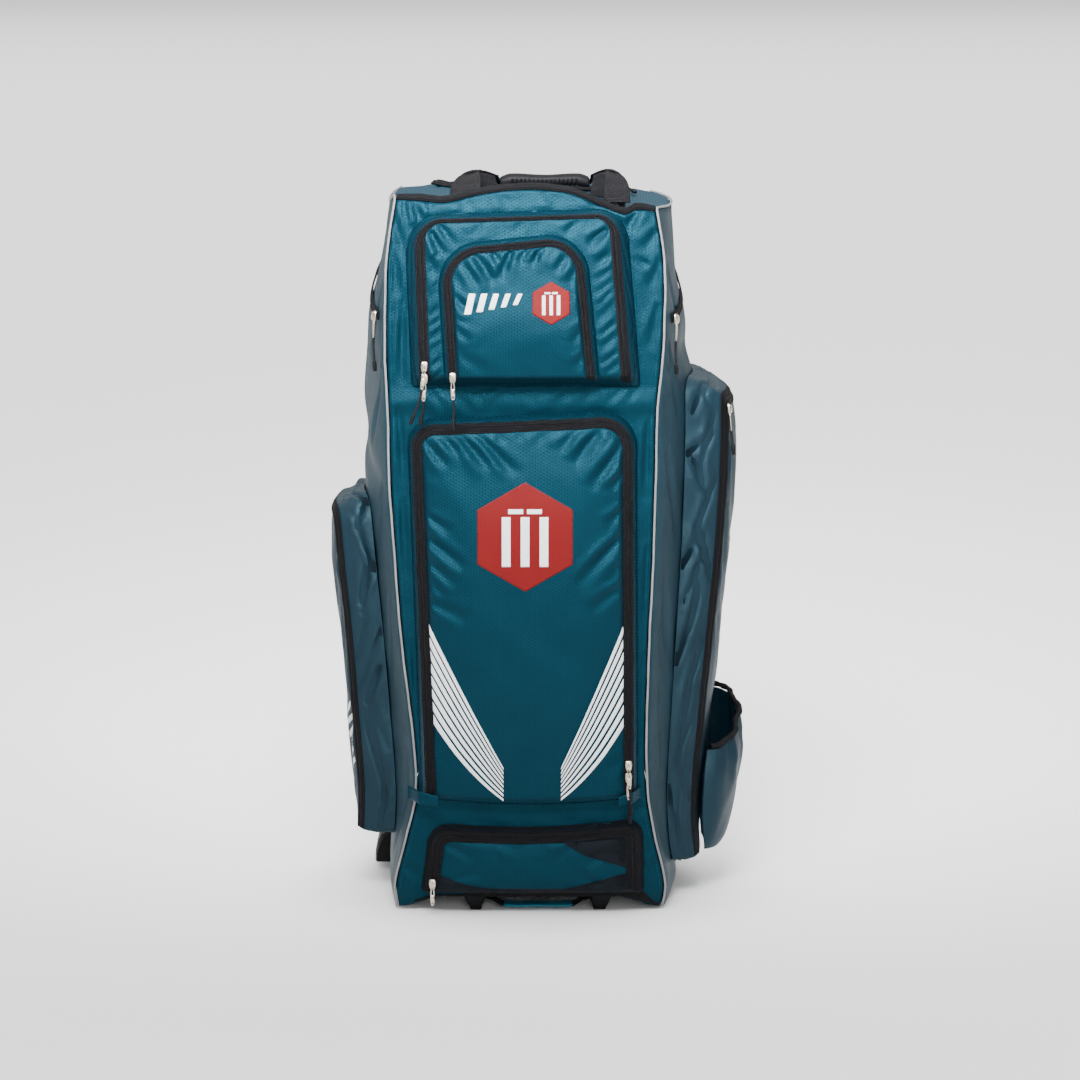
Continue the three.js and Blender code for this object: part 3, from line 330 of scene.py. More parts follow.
def zip_puckers(seed, corners, count, length, height, width):
    """Seeded folds that run inwards from the upright sides and the top of a four-sided face."""
    chance = np.random.default_rng(seed)
    (left, low), (left_top, high), (right_top, high_right), (right, _) = corners
    rows = []
    for k in range(count):
        up = (k + chance.uniform(0.1, 0.9)) / count
        for side, x0, x1 in ((1, left, left_top), (-1, right, right_top)):
            x = mix(x0, x1, up)
            z = mix(low, high, up) + chance.uniform(-8, 8)
            run = length * chance.uniform(0.5, 1.3)
            slope = math.radians(chance.uniform(15, 60))
            rows.append((x, z, x + side * run * math.cos(slope), z - run * math.sin(slope),
                         height * chance.uniform(0.4, 1.0), width * chance.uniform(0.7, 1.3)))
    for k in range(max(count // 2, 3)):
        share = (k + chance.uniform(0.1, 0.9)) / max(count // 2, 3)
        x = mix(left_top + 20, right_top - 20, share)
        z = mix(high, high_right, share)
        run = length * chance.uniform(0.6, 1.2)
        drift = (share - 0.5) * -0.9 * run + chance.uniform(-8, 8)
        rows.append((x, z, x + drift, z - run,
                     height * chance.uniform(0.5, 1.0), width * chance.uniform(0.7, 1.2)))
    return rows


def slanted_folds(seed, left, right, low, high, pitch, height, width):
    """Seeded folds that rise to the right across an upright strip between two lines of (x, z)."""
    chance = np.random.default_rng(seed)
    rows = []
    for z in np.arange(low, high, pitch):
        at = (z - low) / (high - low)
        x0, x1 = mix(left[0], left[1], at), mix(right[0], right[1], at)
        foot = z + chance.uniform(-0.3, 0.3) * pitch
        rows.append((x1, foot + (x1 - x0) * chance.uniform(0.7, 1.2), x0, foot,
                     height * chance.uniform(0.45, 1.0), width * chance.uniform(0.8, 1.3)))
    return rows


def belly(z, middle, height, width):
    """Fullness of a packed pocket, greatest at one height: above it the cloth faces up, below it down."""
    return height * np.exp(-(((z - middle) / width) ** 2))


def calm_round(x, z, centre, radius, soft):
    """0 under a print and 1 outside it."""
    return ease((np.hypot(x - centre[0], z - centre[1]) - radius) / soft)


def framed(points):
    return (np.asarray(points, float) + SHIFT) * MM


def spot(x, y, z):
    return np.stack(np.broadcast_arrays(x, y, z), axis=-1).astype(float)


def lengths(points):
    """Distance travelled along a row of points."""
    steps = np.linalg.norm(np.diff(points, axis=0), axis=1)
    return np.concatenate([[0.0], np.cumsum(steps)])


def resampled(points, count):
    """The same route through evenly spaced points."""
    points = np.asarray(points, float)
    travelled = lengths(points)
    at = np.linspace(0, travelled[-1], count)
    return np.stack([np.interp(at, travelled, points[:, k]) for k in range(points.shape[1])], axis=1)


class Form:
    """Points and faces of one piece, gathered before its mesh is made."""

    def __init__(self):
        self.points = []
        self.faces = []
        self.corners = []
        self.parts = []
        self.count = 0

    def add(self, points, faces, corners, part):
        self.points.append(np.asarray(points, float).reshape(-1, 3))
        self.faces.extend((np.asarray(face) + self.count).tolist() for face in faces)
        self.corners.extend(corners)
        self.parts.extend([part] * len(faces) if np.isscalar(part) else list(part))
        self.count += len(self.points[-1])

    def grid(self, points, around=False, looped=False, part=0, along=None, across=None):
        """Quads over rows of points; around closes each row on itself, looped closes the rows."""
        rows, columns = points.shape[:2]
        along = np.arange(rows + 1.0) if along is None else np.append(along, along[-1])
        if across is None:
            across = np.arange(columns + 1.0)
        else:
            across = np.append(across, across[-1] * 2 - across[-2])
        row_count = rows if looped else rows - 1
        column_count = columns if around else columns - 1
        r, c = np.meshgrid(np.arange(row_count), np.arange(column_count), indexing="ij")
        r, c = r.ravel(), c.ravel()
        r1, c1 = (r + 1) % rows, (c + 1) % columns
        quads = np.stack([r * columns + c, r * columns + c1, r1 * columns + c1, r1 * columns + c], axis=1)
        corners = np.stack([
            np.stack([along[r], across[c]], 1), np.stack([along[r], across[c + 1]], 1),
            np.stack([along[r + 1], across[c + 1]], 1), np.stack([along[r + 1], across[c]], 1)], axis=1)
        parts = part if np.isscalar(part) else np.asarray(part)[c]
        self.add(points, list(quads), corners.tolist(), parts)

    def loft(self, rings, part=0, along=None, across=None):
        """Closed body through rings of points, with a flat face at each end."""
        rings = np.asarray(rings, float)
        if along is None:
            along = lengths(rings.mean(axis=1))
        if across is None:
            across = lengths(rings[len(rings) // 2])
        first = self.count
        self.grid(rings, around=True, part=part, along=along, across=across)
        count = rings.shape[1]
        last = first + (len(rings) - 1) * count
        end_part = part if np.isscalar(part) else part[0]
        for start, turn in ((first, 1), (last, -1)):
            face = [start + k for k in range(count)][::turn]
            self.faces.append(face)
            self.corners.append([[0.0, 0.0]] * count)
            self.parts.append(end_part)

    def shell(self, outer, inner, part=0, along=None, across=None):
        """Cloth with thickness: an outer and an inner grid joined round their border."""
        first = self.count
        self.grid(outer, part=part, along=along, across=across)
        second = self.count
        self.grid(inner, part=part, along=along, across=across)
        rows, columns = outer.shape[:2]
        border = (
            [(0, c) for c in range(columns)] + [(r, columns - 1) for r in range(1, rows)]
            + [(rows - 1, c) for c in range(columns - 2, -1, -1)] + [(r, 0) for r in range(rows - 2, 0, -1)])
        ids = [r * columns + c for r, c in border]
        for a, b in zip(ids, ids[1:] + ids[:1]):
            self.faces.append([first + a, first + b, second + b, second + a])
            self.corners.append([[0.0, 0.0]] * 4)
            self.parts.append(part if np.isscalar(part) else part[0])

    def tube(self, route, radius, sides=10, part=0, squash=1.0):
        """Round bar along a route; radius is a number or one for each point."""
        self.loft(tube_rings(route, radius, sides, squash), part=part)

    def make(self, name, body, slot, finishes, replaces=(), flat=False):
        mesh = bpy.data.meshes.new(name)
        mesh.from_pydata(framed(np.concatenate(self.points)).tolist(), [], self.faces)
        layer = mesh.uv_layers.new(name="cloth")
        layer.data.foreach_set("uv", [v * MM for face in self.corners for corner in face for v in corner])
        for finish in finishes:
            mesh.materials.append(finish)
        mesh.polygons.foreach_set("material_index", [int(p) for p in self.parts])
        mesh.polygons.foreach_set("use_smooth", [not flat] * len(mesh.polygons))
        piece = bpy.data.objects.new(name, mesh)
        bpy.context.scene.collection.objects.link(piece)
        turn_outwards(mesh)
        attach(piece, body)
        if replaces:
            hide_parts(*replaces)
        return piece


def turn_outwards(mesh):
    """Faces of a closed mesh point away from its inside."""
    work = bmesh.new()
    work.from_mesh(mesh)
    bmesh.ops.recalc_face_normals(work, faces=work.faces)
    work.to_mesh(mesh)
    work.free()
    mesh.update()


def tube_rings(route, radius, sides=10, squash=1.0):
    route = np.asarray(route, float)
    radii = np.broadcast_to(radius, len(route))
    ahead = np.gradient(route, axis=0)
    ahead /= np.linalg.norm(ahead, axis=1)[:, None]
    helper = np.array([1.0, 0, 0]) if abs(ahead[0][2]) > 0.9 else np.array([0, 0, 1.0])
    across = np.cross(helper, ahead[0])
    rings = []
    for centre, direction, size in zip(route, ahead, radii):
        across = across - direction * across.dot(direction)
        across = across / np.linalg.norm(across)
        other = np.cross(direction, across)
        angles = ring_angles(sides)
        rings.append(centre + size * (
            np.cos(angles)[:, None] * across + squash * np.sin(angles)[:, None] * other))
    return np.array(rings)


def normals_of(points):
    """Unit normals over a grid of points."""
    down = np.gradient(points, axis=0)
    across = np.gradient(points, axis=1)
    normal = np.cross(down, across)
    size = np.linalg.norm(normal, axis=2, keepdims=True)
    return normal / np.maximum(size, 1e-9)


# Finishes
class Reading:
    """A number that changes over a surface; arithmetic on it adds Math nodes."""

    def __init__(self, finish, socket):
        self.finish = finish
        self.socket = socket

    def _math(self, operation, *values):
        return self.finish.math(operation, *values)

    def __add__(self, other):
        return self._math("ADD", self, other)

    def __radd__(self, other):
        return self._math("ADD", other, self)

    def __sub__(self, other):
        return self._math("SUBTRACT", self, other)

    def __rsub__(self, other):
        return self._math("SUBTRACT", other, self)

    def __mul__(self, other):
        return self._math("MULTIPLY", self, other)

    def __rmul__(self, other):
        return self._math("MULTIPLY", other, self)

    def __truediv__(self, other):
        return self._math("DIVIDE", self, other)


class Finish:
    """One material under construction."""

    def __init__(self, name):
        self.material = bpy.data.materials.new(name)
        self.material.use_nodes = True
        self.tree = self.material.node_tree
        self.shader = self.tree.nodes["Principled BSDF"]

    def node(self, kind, settings=None, sockets=None):
        """A node of that type; its settings come first, then the values or links of its sockets."""
        made = self.tree.nodes.new(kind)
        for key, value in (settings or {}).items():
            if key == "stops":
                ramp = made.color_ramp
                while len(ramp.elements) < len(value):
                    ramp.elements.new(0.5)
                for element, (position, color) in zip(ramp.elements, value):
                    element.position = position
                    element.color = (*color, 1.0)
            else:
                setattr(made, key, value)
        for key, value in (sockets or {}).items():
            self.feed(made.inputs[key], value)
        return made

    def feed(self, socket, value):
        if isinstance(value, Reading):
            value = value.socket
        if isinstance(value, bpy.types.NodeSocket):
            self.tree.links.new(value, socket)
        elif isinstance(value, tuple) and len(value) == 3 and socket.type == "RGBA":
            socket.default_value = (*value, 1.0)
        else:
            socket.default_value = value

    def math(self, operation, *values):
        made = self.node("ShaderNodeMath", {"operation": operation}, dict(enumerate(values)))
        return Reading(self, made.outputs[0])

    def wave(self, reading):
        return self.math("SINE", reading)

    def step(self, reading, low, high):
        made = self.node("ShaderNodeMapRange", {"interpolation_type": "SMOOTHSTEP", "clamp": True},
                         {"Value": reading, "From Min": low, "From Max": high})
        return Reading(self, made.outputs["Result"])

    def place(self, source="Object"):
        """The surface's own coordinates in millimetres, as three readings."""
        where = self.node("ShaderNodeTexCoord").outputs[source]
        parts = self.node("ShaderNodeSeparateXYZ", None, {0: where})
        return [Reading(self, parts.outputs[k]) * 1000.0 for k in range(3)]

    def noise(self, size, detail=2.0, rough=0.5):
        """Uneven value from 0 to 1 with patches of about that size in millimetres."""
        where = self.node("ShaderNodeTexCoord").outputs["Object"]
        made = self.node("ShaderNodeTexNoise", None, {
            "Vector": where, "Scale": 1000.0 / size, "Detail": detail, "Roughness": rough})
        return Reading(self, made.outputs[0])

    def blend(self, factor, first, second):
        made = self.node("ShaderNodeMix", {"data_type": "RGBA"}, {0: factor, 6: first, 7: second})
        return made.outputs[2]

    def relief(self, height, distance, strength=1.0):
        made = self.node("ShaderNodeBump", None, {
            "Height": height, "Distance": distance * MM, "Strength": strength})
        self.feed(self.shader.inputs["Normal"], made.outputs[0])

    def done(self, color=None, rough=None, **fixed):
        if color is not None:
            self.feed(self.shader.inputs["Base Color"], color)
        if rough is not None:
            self.feed(self.shader.inputs["Roughness"], rough)
        for key, value in fixed.items():
            self.feed(self.shader.inputs[key.replace("_", " ")], value)
        return self.material


def honeycomb(finish, a, b, pitch):
    """Ripstop weave: 0 on its dots, set out in a honeycomb, and 1 between them."""
    turn = 2 * math.pi / (pitch * math.sqrt(3) / 2)
    rows = 0.5 * math.sqrt(3)
    first = finish.math("COSINE", a * turn)
    second = finish.math("COSINE", (a * 0.5 + b * rows) * turn)
    third = finish.math("COSINE", (b * rows - a * 0.5) * turn)
    return 1 - finish.step(first + second + third, -0.6, 2.4)


def ripstop(name, axes, cell, outline, deep, gloss):
    """Satin cloth with honeycomb cells; axes picks the two coordinates its weave follows."""
    finish = Finish(name)
    where = finish.place()
    cells = honeycomb(finish, where[axes[0]], where[axes[1]], 4.3)
    patches = finish.noise(55, 3.0)
    threads = finish.wave(where[axes[0]] * 5.2) * finish.wave(where[axes[1]] * 5.2)
    woven = finish.blend(cells, outline, cell)
    worn = finish.blend(finish.step(patches, 0.25, 0.8), woven, deep)
    shade = finish.blend(0.72, woven, worn)
    finish.relief(cells * 0.8 + threads * 0.12 + finish.noise(9, 2.0) * 0.5, 0.32, 0.65)
    return finish.done(shade, gloss + (1 - cells) * 0.12 + patches * 0.08,
                       Metallic=0.3, Specular_IOR_Level=0.36, Specular_Tint=(0.2, 0.74, 1.0))


def plain_cloth(name, axes, first, second, thread, gloss, relief=0.3, gleam=0.5):
    """Close plain weave in two near tones."""
    finish = Finish(name)
    where = finish.place()
    turn = 2 * math.pi / thread
    weave = finish.wave(where[axes[0]] * turn) * finish.wave(where[axes[1]] * turn)
    patches = finish.noise(40, 3.0)
    shade = finish.blend(finish.step(patches + weave * 0.12, 0.25, 0.8), first, second)
    finish.relief(weave * 0.5 + finish.noise(6, 2.0) * 0.6, relief, 0.6)
    return finish.done(shade, gloss + patches * 0.12,
                       Specular_IOR_Level=gleam, Specular_Tint=(0.5, 0.85, 1.0))


def ribbed(name, first, second, pitch, across_pitch, gloss, relief=0.5, source="UV"):
    """Ribs across a strip and fine grooves along it, for tapes, webbing, piping and coils."""
    finish = Finish(name)
    where = finish.place(source)
    ribs = finish.wave(where[0] * (2 * math.pi / pitch))
    grooves = finish.wave(where[1] * (2 * math.pi / across_pitch))
    height = ribs * 0.5 + grooves * 0.35 + ribs * grooves * 0.3
    patches = finish.noise(30, 3.0)
    shade = finish.blend(finish.step(height * 0.25 + patches, 0.2, 0.9), first, second)
    finish.relief(height, relief, 0.7)
    return finish.done(shade, gloss + patches * 0.15, Specular_IOR_Level=0.12)


def moulded(name, first, second, gloss, grain=1.2, relief=0.12):
    """Moulded rubber or plastic with a fine grain."""
    finish = Finish(name)
    grainy = finish.noise(grain, 2.0)
    patches = finish.noise(24, 3.0)
    shade = finish.blend(patches, first, second)
    finish.relief(grainy, relief, 0.6)
    return finish.done(shade, gloss + grainy * 0.12 + patches * 0.1, Specular_IOR_Level=0.13)


def metal(name, first, second, gloss):
    finish = Finish(name)
    scuffs = finish.noise(3, 4.0, 0.7)
    shade = finish.blend(scuffs, first, second)
    finish.relief(scuffs, 0.05, 0.4)
    return finish.done(shade, gloss + scuffs * 0.18, Metallic=1.0)


def printed(name, first, second):
    """Rubbery print pressed into the weave."""
    finish = Finish(name)
    where = finish.place()
    cells = honeycomb(finish, where[0], where[2], 4.3)
    patches = finish.noise(30, 3.0)
    finish.relief(cells, 0.14, 0.5)
    return finish.done(finish.blend(patches, first, second), 0.55 + cells * 0.06, Specular_IOR_Level=0.15)


TEAL_CLOTH = ripstop("teal_ripstop_front", (0, 2), (0.0019, 0.0130, 0.0226), (0.0013, 0.0090, 0.0160),
                     (0.0016, 0.0106, 0.0190), 0.47)
TOP_CLOTH = ripstop("teal_ripstop_top", (0, 1), (0.0024, 0.0165, 0.0275), (0.0016, 0.0115, 0.0195),
                    (0.0020, 0.0138, 0.0230), 0.5)
SIDE_CLOTH = plain_cloth("teal_plain_side", (1, 2), (0.0030, 0.0155, 0.0245), (0.0022, 0.0115, 0.0190),
                         1.4, 0.5, gleam=0.32)
POCKET_CLOTH = plain_cloth("dark_teal_pocket", (1, 2), (0.0018, 0.0098, 0.0175), (0.0012, 0.0068, 0.0130),
                           1.4, 0.44, gleam=0.3)
BACK_CLOTH = plain_cloth("teal_plain_back", (0, 2), (0.0036, 0.0185, 0.0300), (0.0027, 0.0140, 0.0235),
                         1.4, 0.5, gleam=0.32)
BLACK_CLOTH = plain_cloth("black_base_cloth", (0, 1), (0.0048, 0.0048, 0.006), (0.003, 0.003, 0.004),
                          1.8, 0.6, gleam=0.1)
WING_CLOTH = plain_cloth("black_wing_cloth", (0, 2), (0.0050, 0.0050, 0.0068), (0.0034, 0.0034, 0.0046),
                         1.6, 0.6, gleam=0.1)
# Painted light: the handle's wrap is the same teal cloth as the front, painted about ten times lighter so it
# looks lit in the shade under the base
LIT_WRAP_CLOTH = plain_cloth("teal_wrap_painted_light_cloth", (0, 1), (0.012, 0.130, 0.195), (0.009, 0.095, 0.145), 1.6, 0.5)
GREY_PIPING = ribbed("grey_piping", (0.20, 0.20, 0.205), (0.13, 0.13, 0.135), 1.6, 2.4, 0.45, 0.2)
BINDING_TAPE = ribbed("black_binding_tape", (0.0022, 0.0022, 0.0030), (0.0042, 0.0042, 0.0052),
                      1.5, 3.0, 0.65)
WEBBING = ribbed("black_webbing", (0.0020, 0.0020, 0.0028), (0.0042, 0.0042, 0.0054), 1.9, 3.2, 0.6)
ZIP_TAPE = ribbed("zip_tape", (0.0014, 0.0014, 0.0022), (0.0026, 0.0026, 0.0036), 1.3, 2.2, 0.65)
ZIP_COIL = ribbed("zip_coil", (0.0035, 0.0035, 0.0048), (0.008, 0.008, 0.010), 1.9, 30.0, 0.42, 0.9)
BRAID = ribbed("braided_cord", (0.002, 0.002, 0.0026), (0.008, 0.008, 0.010), 2.2, 2.6, 0.5, 0.6)
THREAD_TEAL = moulded("teal_thread", (0.004, 0.045, 0.072), (0.003, 0.032, 0.055), 0.5)
THREAD_BLACK = moulded("black_thread", (0.010, 0.010, 0.013), (0.018, 0.018, 0.022), 0.5)
RUBBER = moulded("black_rubber", (0.0020, 0.0020, 0.0027), (0.0036, 0.0036, 0.0046), 0.5)
PLASTIC = moulded("black_plastic", (0.0040, 0.0042, 0.0052), (0.0060, 0.0064, 0.0075), 0.42)
HUB_PLASTIC = moulded("grey_hub_plastic", (0.035, 0.035, 0.038), (0.05, 0.05, 0.054), 0.4)
BRIGHT_METAL = metal("bright_cast_metal", (0.66, 0.59, 0.50), (0.36, 0.31, 0.25), 0.2)
WHITE_PRINT = printed("white_print", (0.66, 0.67, 0.68), (0.58, 0.59, 0.61))
RED_PRINT = printed("red_print", (0.118, 0.0012, 0.0018), (0.098, 0.0010, 0.0015))

# Camera at the photograph's viewing angle, which is this many degrees below level
LOOKING_DOWN = 9.43
camera_data = bpy.data.cameras.new("photo_camera")
camera_data.lens = 131.83
camera_data.sensor_width = 36
camera_data.clip_end = 200
camera = bpy.data.objects.new("photo_camera", camera_data)
camera.location = framed((13, -5165, 1320))
camera.rotation_euler = (math.radians(90 - LOOKING_DOWN), 0, 0)
bpy.context.scene.collection.objects.link(camera)
bpy.context.scene.camera = camera


# Surfaces that pieces are laid on: each takes two coordinates and how far above the cloth to be
def on_front(x, z, rise):
    return spot(x, front_y(x, z) - rise, z)


UPPER_FOOT = 687


def shallow_foot(z):
    """Share of an upper pocket's rise near its foot, where its cloth is sewn down flat."""
    return mix(0.3, 1, ease((z - UPPER_FOOT) / 21))


def on_upper_pocket(x, z, rise):
    return on_front(x, z, UPPER_RISE + WALL + FOLD + rise)


def on_front_over_foot(x, z, rise):
    return on_front(x, z, rise * shallow_foot(z))


def on_upper_pocket_over_foot(x, z, rise):
    return on_front(x, z, (UPPER_RISE + WALL + FOLD + rise) * shallow_foot(z))


def on_left(y, z, rise):
    return spot(folded_side_x(-1, y, z) - rise - SIDE_GAP, y, z)


def right_taper(z):
    return mix(0.72, 1.06, ease((z - 60) / 560))


def on_right(y, z, rise):
    return spot(folded_side_x(1, y, z) + rise * right_taper(z) + SIDE_GAP, y, z)


def top_surface(x, y):
    z = BODY_HEIGHT
    back = back_edge_y(z) - CLEAR
    front = front_edge_y(z) + BINDING_THICKNESS
    t = (y - front) / (back - front)
    left = side_x(-1, y, z) + CLEAR
    right = side_x(1, y, z) - CLEAR
    u = (2 * x - left - right) / (right - left)
    return top_z(np.clip(u, -1, 1), np.clip(t, 0, 1))


def risen(column, rise, *rows):
    """A table of heights by inset or by depth; a row's height is its share of the rise."""
    return table(f"{column} rise", *[(at, share * rise) for at, share in rows])


# Zip pulls and their cords: a point of a pull is across its width, down from its top, out from its back
UPPER_INSETS = risen(
    "inset", UPPER_RISE, (0, 0), (4, 0.4), (9, 0.74), (12, 0.88), (12 + UPPER_ZIP_WIDTH, 1))
SMALL_INSETS = risen("inset", SMALL_RISE, (0, 0), (3, 0.35), (6, 0.55), (6 + SMALL_ZIP_WIDTH, 0.8))
MAIN_INSETS = risen("inset", MAIN_RISE, (0, 0), (3, 0.3), (6, 0.48), (6 + MAIN_ZIP_WIDTH, 0.66))
BOTTOM_INSETS = risen("inset", BOTTOM_RISE, (0, 0), (3, 0.35), (6, 0.6), (6 + BOTTOM_ZIP_WIDTH, 0.92))
HOP = SLIDER_THICKNESS + FOLD
OVER_TAB = 4
UPPER_SEAT = dict(insets=UPPER_INSETS, place=on_front, share=0.85)
SMALL_SEAT = dict(insets=SMALL_INSETS, place=on_upper_pocket, share=0.9)
MAIN_SEAT = dict(insets=MAIN_INSETS, place=on_front, share=0.8)
BOTTOM_SEAT = dict(insets=BOTTOM_INSETS, place=on_front, share=0.7)
FRONT_PULLS = [
    dict(name="upper_a", x=-133, z=724, cord=44, lean=-18, hop=HOP, **UPPER_SEAT),
    dict(name="upper_b", x=-133, z=708, cord=30, lean=-5, hop=0, **UPPER_SEAT),
    dict(name="small", x=-97, z=712, cord=38, lean=2, hop=0, **SMALL_SEAT),
    dict(name="main_a", x=127, z=206, cord=34, lean=4, hop=HOP + OVER_TAB, **MAIN_SEAT),
    dict(name="main_b", x=127, z=190, cord=30, lean=2, hop=OVER_TAB, **MAIN_SEAT),
    dict(name="bottom", x=-126, z=50, cord=0, lean=0, hop=0, **BOTTOM_SEAT),
]
SIDE_PULLS = [
    dict(name="side_left", side=-1, y=-140.25, z=782.02, cord=42),
    dict(name="side_right", side=1, y=-140.25, z=777.97, cord=42),
]


def front_pull_place(row):
    length = SLIDER_LENGTH + TAB_LENGTH + row["cord"]
    rises = row["insets"]["rise"]
    stand = mix(rises[-2], rises[-1], row["share"]) + FOLD + WALL + SEAM + ZIP_THICKNESS + SEAM
    seat = min(
        float(row["place"](row["x"] + side * SLIDER_WIDTH * 0.5, row["z"] - down, stand)[1])
        for side in (-1, 1) for down in (0, SLIDER_LENGTH))

    def at(across, down, out):
        outward = out + row["hop"] * ease((down - SLIDER_LENGTH * 0.9) / 4)
        return spot(row["x"] + across + row["lean"] * (down / length) ** 2, seat - outward, row["z"] - down)
    return at


def side_pull_place(row):
    stand = 1.3 * SIDE_GAP + ZIP_THICKNESS + FOLD

    def at(across, down, out):
        y = row["y"] + across
        z = row["z"] - down
        return spot(folded_side_x(row["side"], y, z) + row["side"] * (stand + out), y, z)
    return at


RIGHT_PULL = dict(y=-82, z=655, cord=30)


def right_pull_at(across, down, out):
    stand = WALL + ZIP_THICKNESS + FOLD + 1.5
    x = float(on_right(RIGHT_PULL["y"], RIGHT_PULL["z"] - 20.0, RIGHT_POCKET_RISE * 0.84)[0]) + stand
    return spot(x + out + down * 0.1, RIGHT_PULL["y"] + across - down * 0.1, RIGHT_PULL["z"] - down)


TOP_PULL = dict(x=117, y=58, cord=32, aside=0.3)


def top_pull_at(across, down, out):
    seat = top_surface(float(TOP_PULL["x"]), float(TOP_PULL["y"])) + 3 * FOLD + TOP_ZIP_THICKNESS
    x = TOP_PULL["x"] + TOP_PULL["aside"] * down + across
    y = TOP_PULL["y"] - down + TOP_PULL["aside"] * across
    rest = top_surface(x, y) + FOLD * 4
    return spot(x, y, mix(seat, rest, ease((down - SLIDER_LENGTH) / TAB_LENGTH)) + out)


PULLS = [(row["name"], front_pull_place(row), row["cord"]) for row in FRONT_PULLS]
PULLS += [(row["name"], side_pull_place(row), row["cord"]) for row in SIDE_PULLS]
PULLS += [("pocket", right_pull_at, RIGHT_PULL["cord"]), ("top", top_pull_at, TOP_PULL["cord"])]


def cord_route(at, length):
    share = np.linspace(0, 1, 22)
    start = SLIDER_LENGTH + TAB_LENGTH + CORD_GAP
    return at(0.6 * np.sin(share * np.pi * 2), start + share * length, SLIDER_THICKNESS / 2)


def add_cord(name, at, length):
    route = cord_route(at, length)
    travelled = lengths(route)[-1]
    line = resampled(route, max(40, int(length * 1.6)))
    strands = 1 + 0.07 * np.sin(2 * np.pi * lengths(line) / 3.2)
    cord = Form()
    cord.tube(line, CORD_RADIUS * strands, 10)
    cord_piece = cord.make(f"pull_cord_{name}", "bag", "pull_cord", [BRAID], [f"cord_{name}"])
    tip = Form()
    held = line[lengths(line) > travelled - 13]
    swell = CORD_RADIUS + 1.1 * np.sin(np.pi * np.clip(np.linspace(0.12, 0.92, len(held)), 0, 1)) ** 0.5
    tip.tube(held, swell, 12)
    tip_piece = tip.make(f"pull_cord_tip_{name}", "bag", "pull_cord", [RUBBER])


for pull_name, pull_at, pull_cord in PULLS:
    if pull_cord:
        add_cord(pull_name, pull_at, pull_cord)


# Down from a slider's top as a share of its length, half its width and its thickness as shares of them
SLIDER_SECTIONS = [
    (0.0, 0.30, 0.55), (0.06, 0.42, 0.72), (0.25, 0.5, 0.8), (0.6, 0.46, 0.8), (0.9, 0.38, 0.7),
    (1.0, 0.28, 0.5),
]


def add_pull(name, at):
    """Cast slider with its bridge, a hinged tab with a window, and the eye at its end."""
    pull = Form()
    angles = ring_angles(20)
    wide, thick = squared(np.cos(angles), 0.55), squared(np.sin(angles), 0.55)
    rings = []
    for down, half, high in SLIDER_SECTIONS:
        across = half * SLIDER_WIDTH * wide
        out = SLIDER_THICKNESS * high * (0.5 + 0.5 * thick)
        rings.append(at(across, np.full(20, down * SLIDER_LENGTH), out))
    pull.loft(rings)
    arch = np.linspace(0, np.pi, 14)
    bridge_down = SLIDER_LENGTH * (0.52 - 0.38 * np.cos(arch))
    bridge_out = SLIDER_THICKNESS * (0.7 + 0.42 * np.sin(arch))
    pull.tube(at(np.zeros(14), bridge_down, bridge_out), 0.9, 8)
    middle = SLIDER_THICKNESS / 2
    start = SLIDER_LENGTH * 0.82
    turn = np.linspace(0, 2 * np.pi, 41)[:-1]
    long = (TAB_LENGTH + SLIDER_LENGTH - start) / 2 - 0.8
    loop_across = (TAB_WIDTH / 2 - 1.0) * squared(np.cos(turn), 0.7)
    loop_down = start + long + 0.8 + long * np.sin(turn)
    ring = at(loop_across, loop_down, np.full(40, middle))
    closed = np.concatenate([ring, ring[:3]])
    pull.tube(closed, 1.05, 8, squash=0.9)
    plate_down = np.linspace(start + long * 0.9, start + 1.75 * long, 9)
    plate = []
    for k, down in enumerate(plate_down):
        half = (TAB_WIDTH / 2 - 0.6) * (0.75 + 0.25 * math.sin(math.pi * k / 8))
        plate.append(at(half * wide, np.full(20, down), middle + 0.75 * thick))
    pull.loft(plate)
    pull.make(f"zip_pull_{name}", "bag", "pull_metal", [BRIGHT_METAL], [f"pull_{name}"])


for pull_name, pull_at, pull_cord in PULLS:
    add_pull(pull_name, pull_at)


# Pockets
ARC_STEPS = (3, 16, 16, 3)


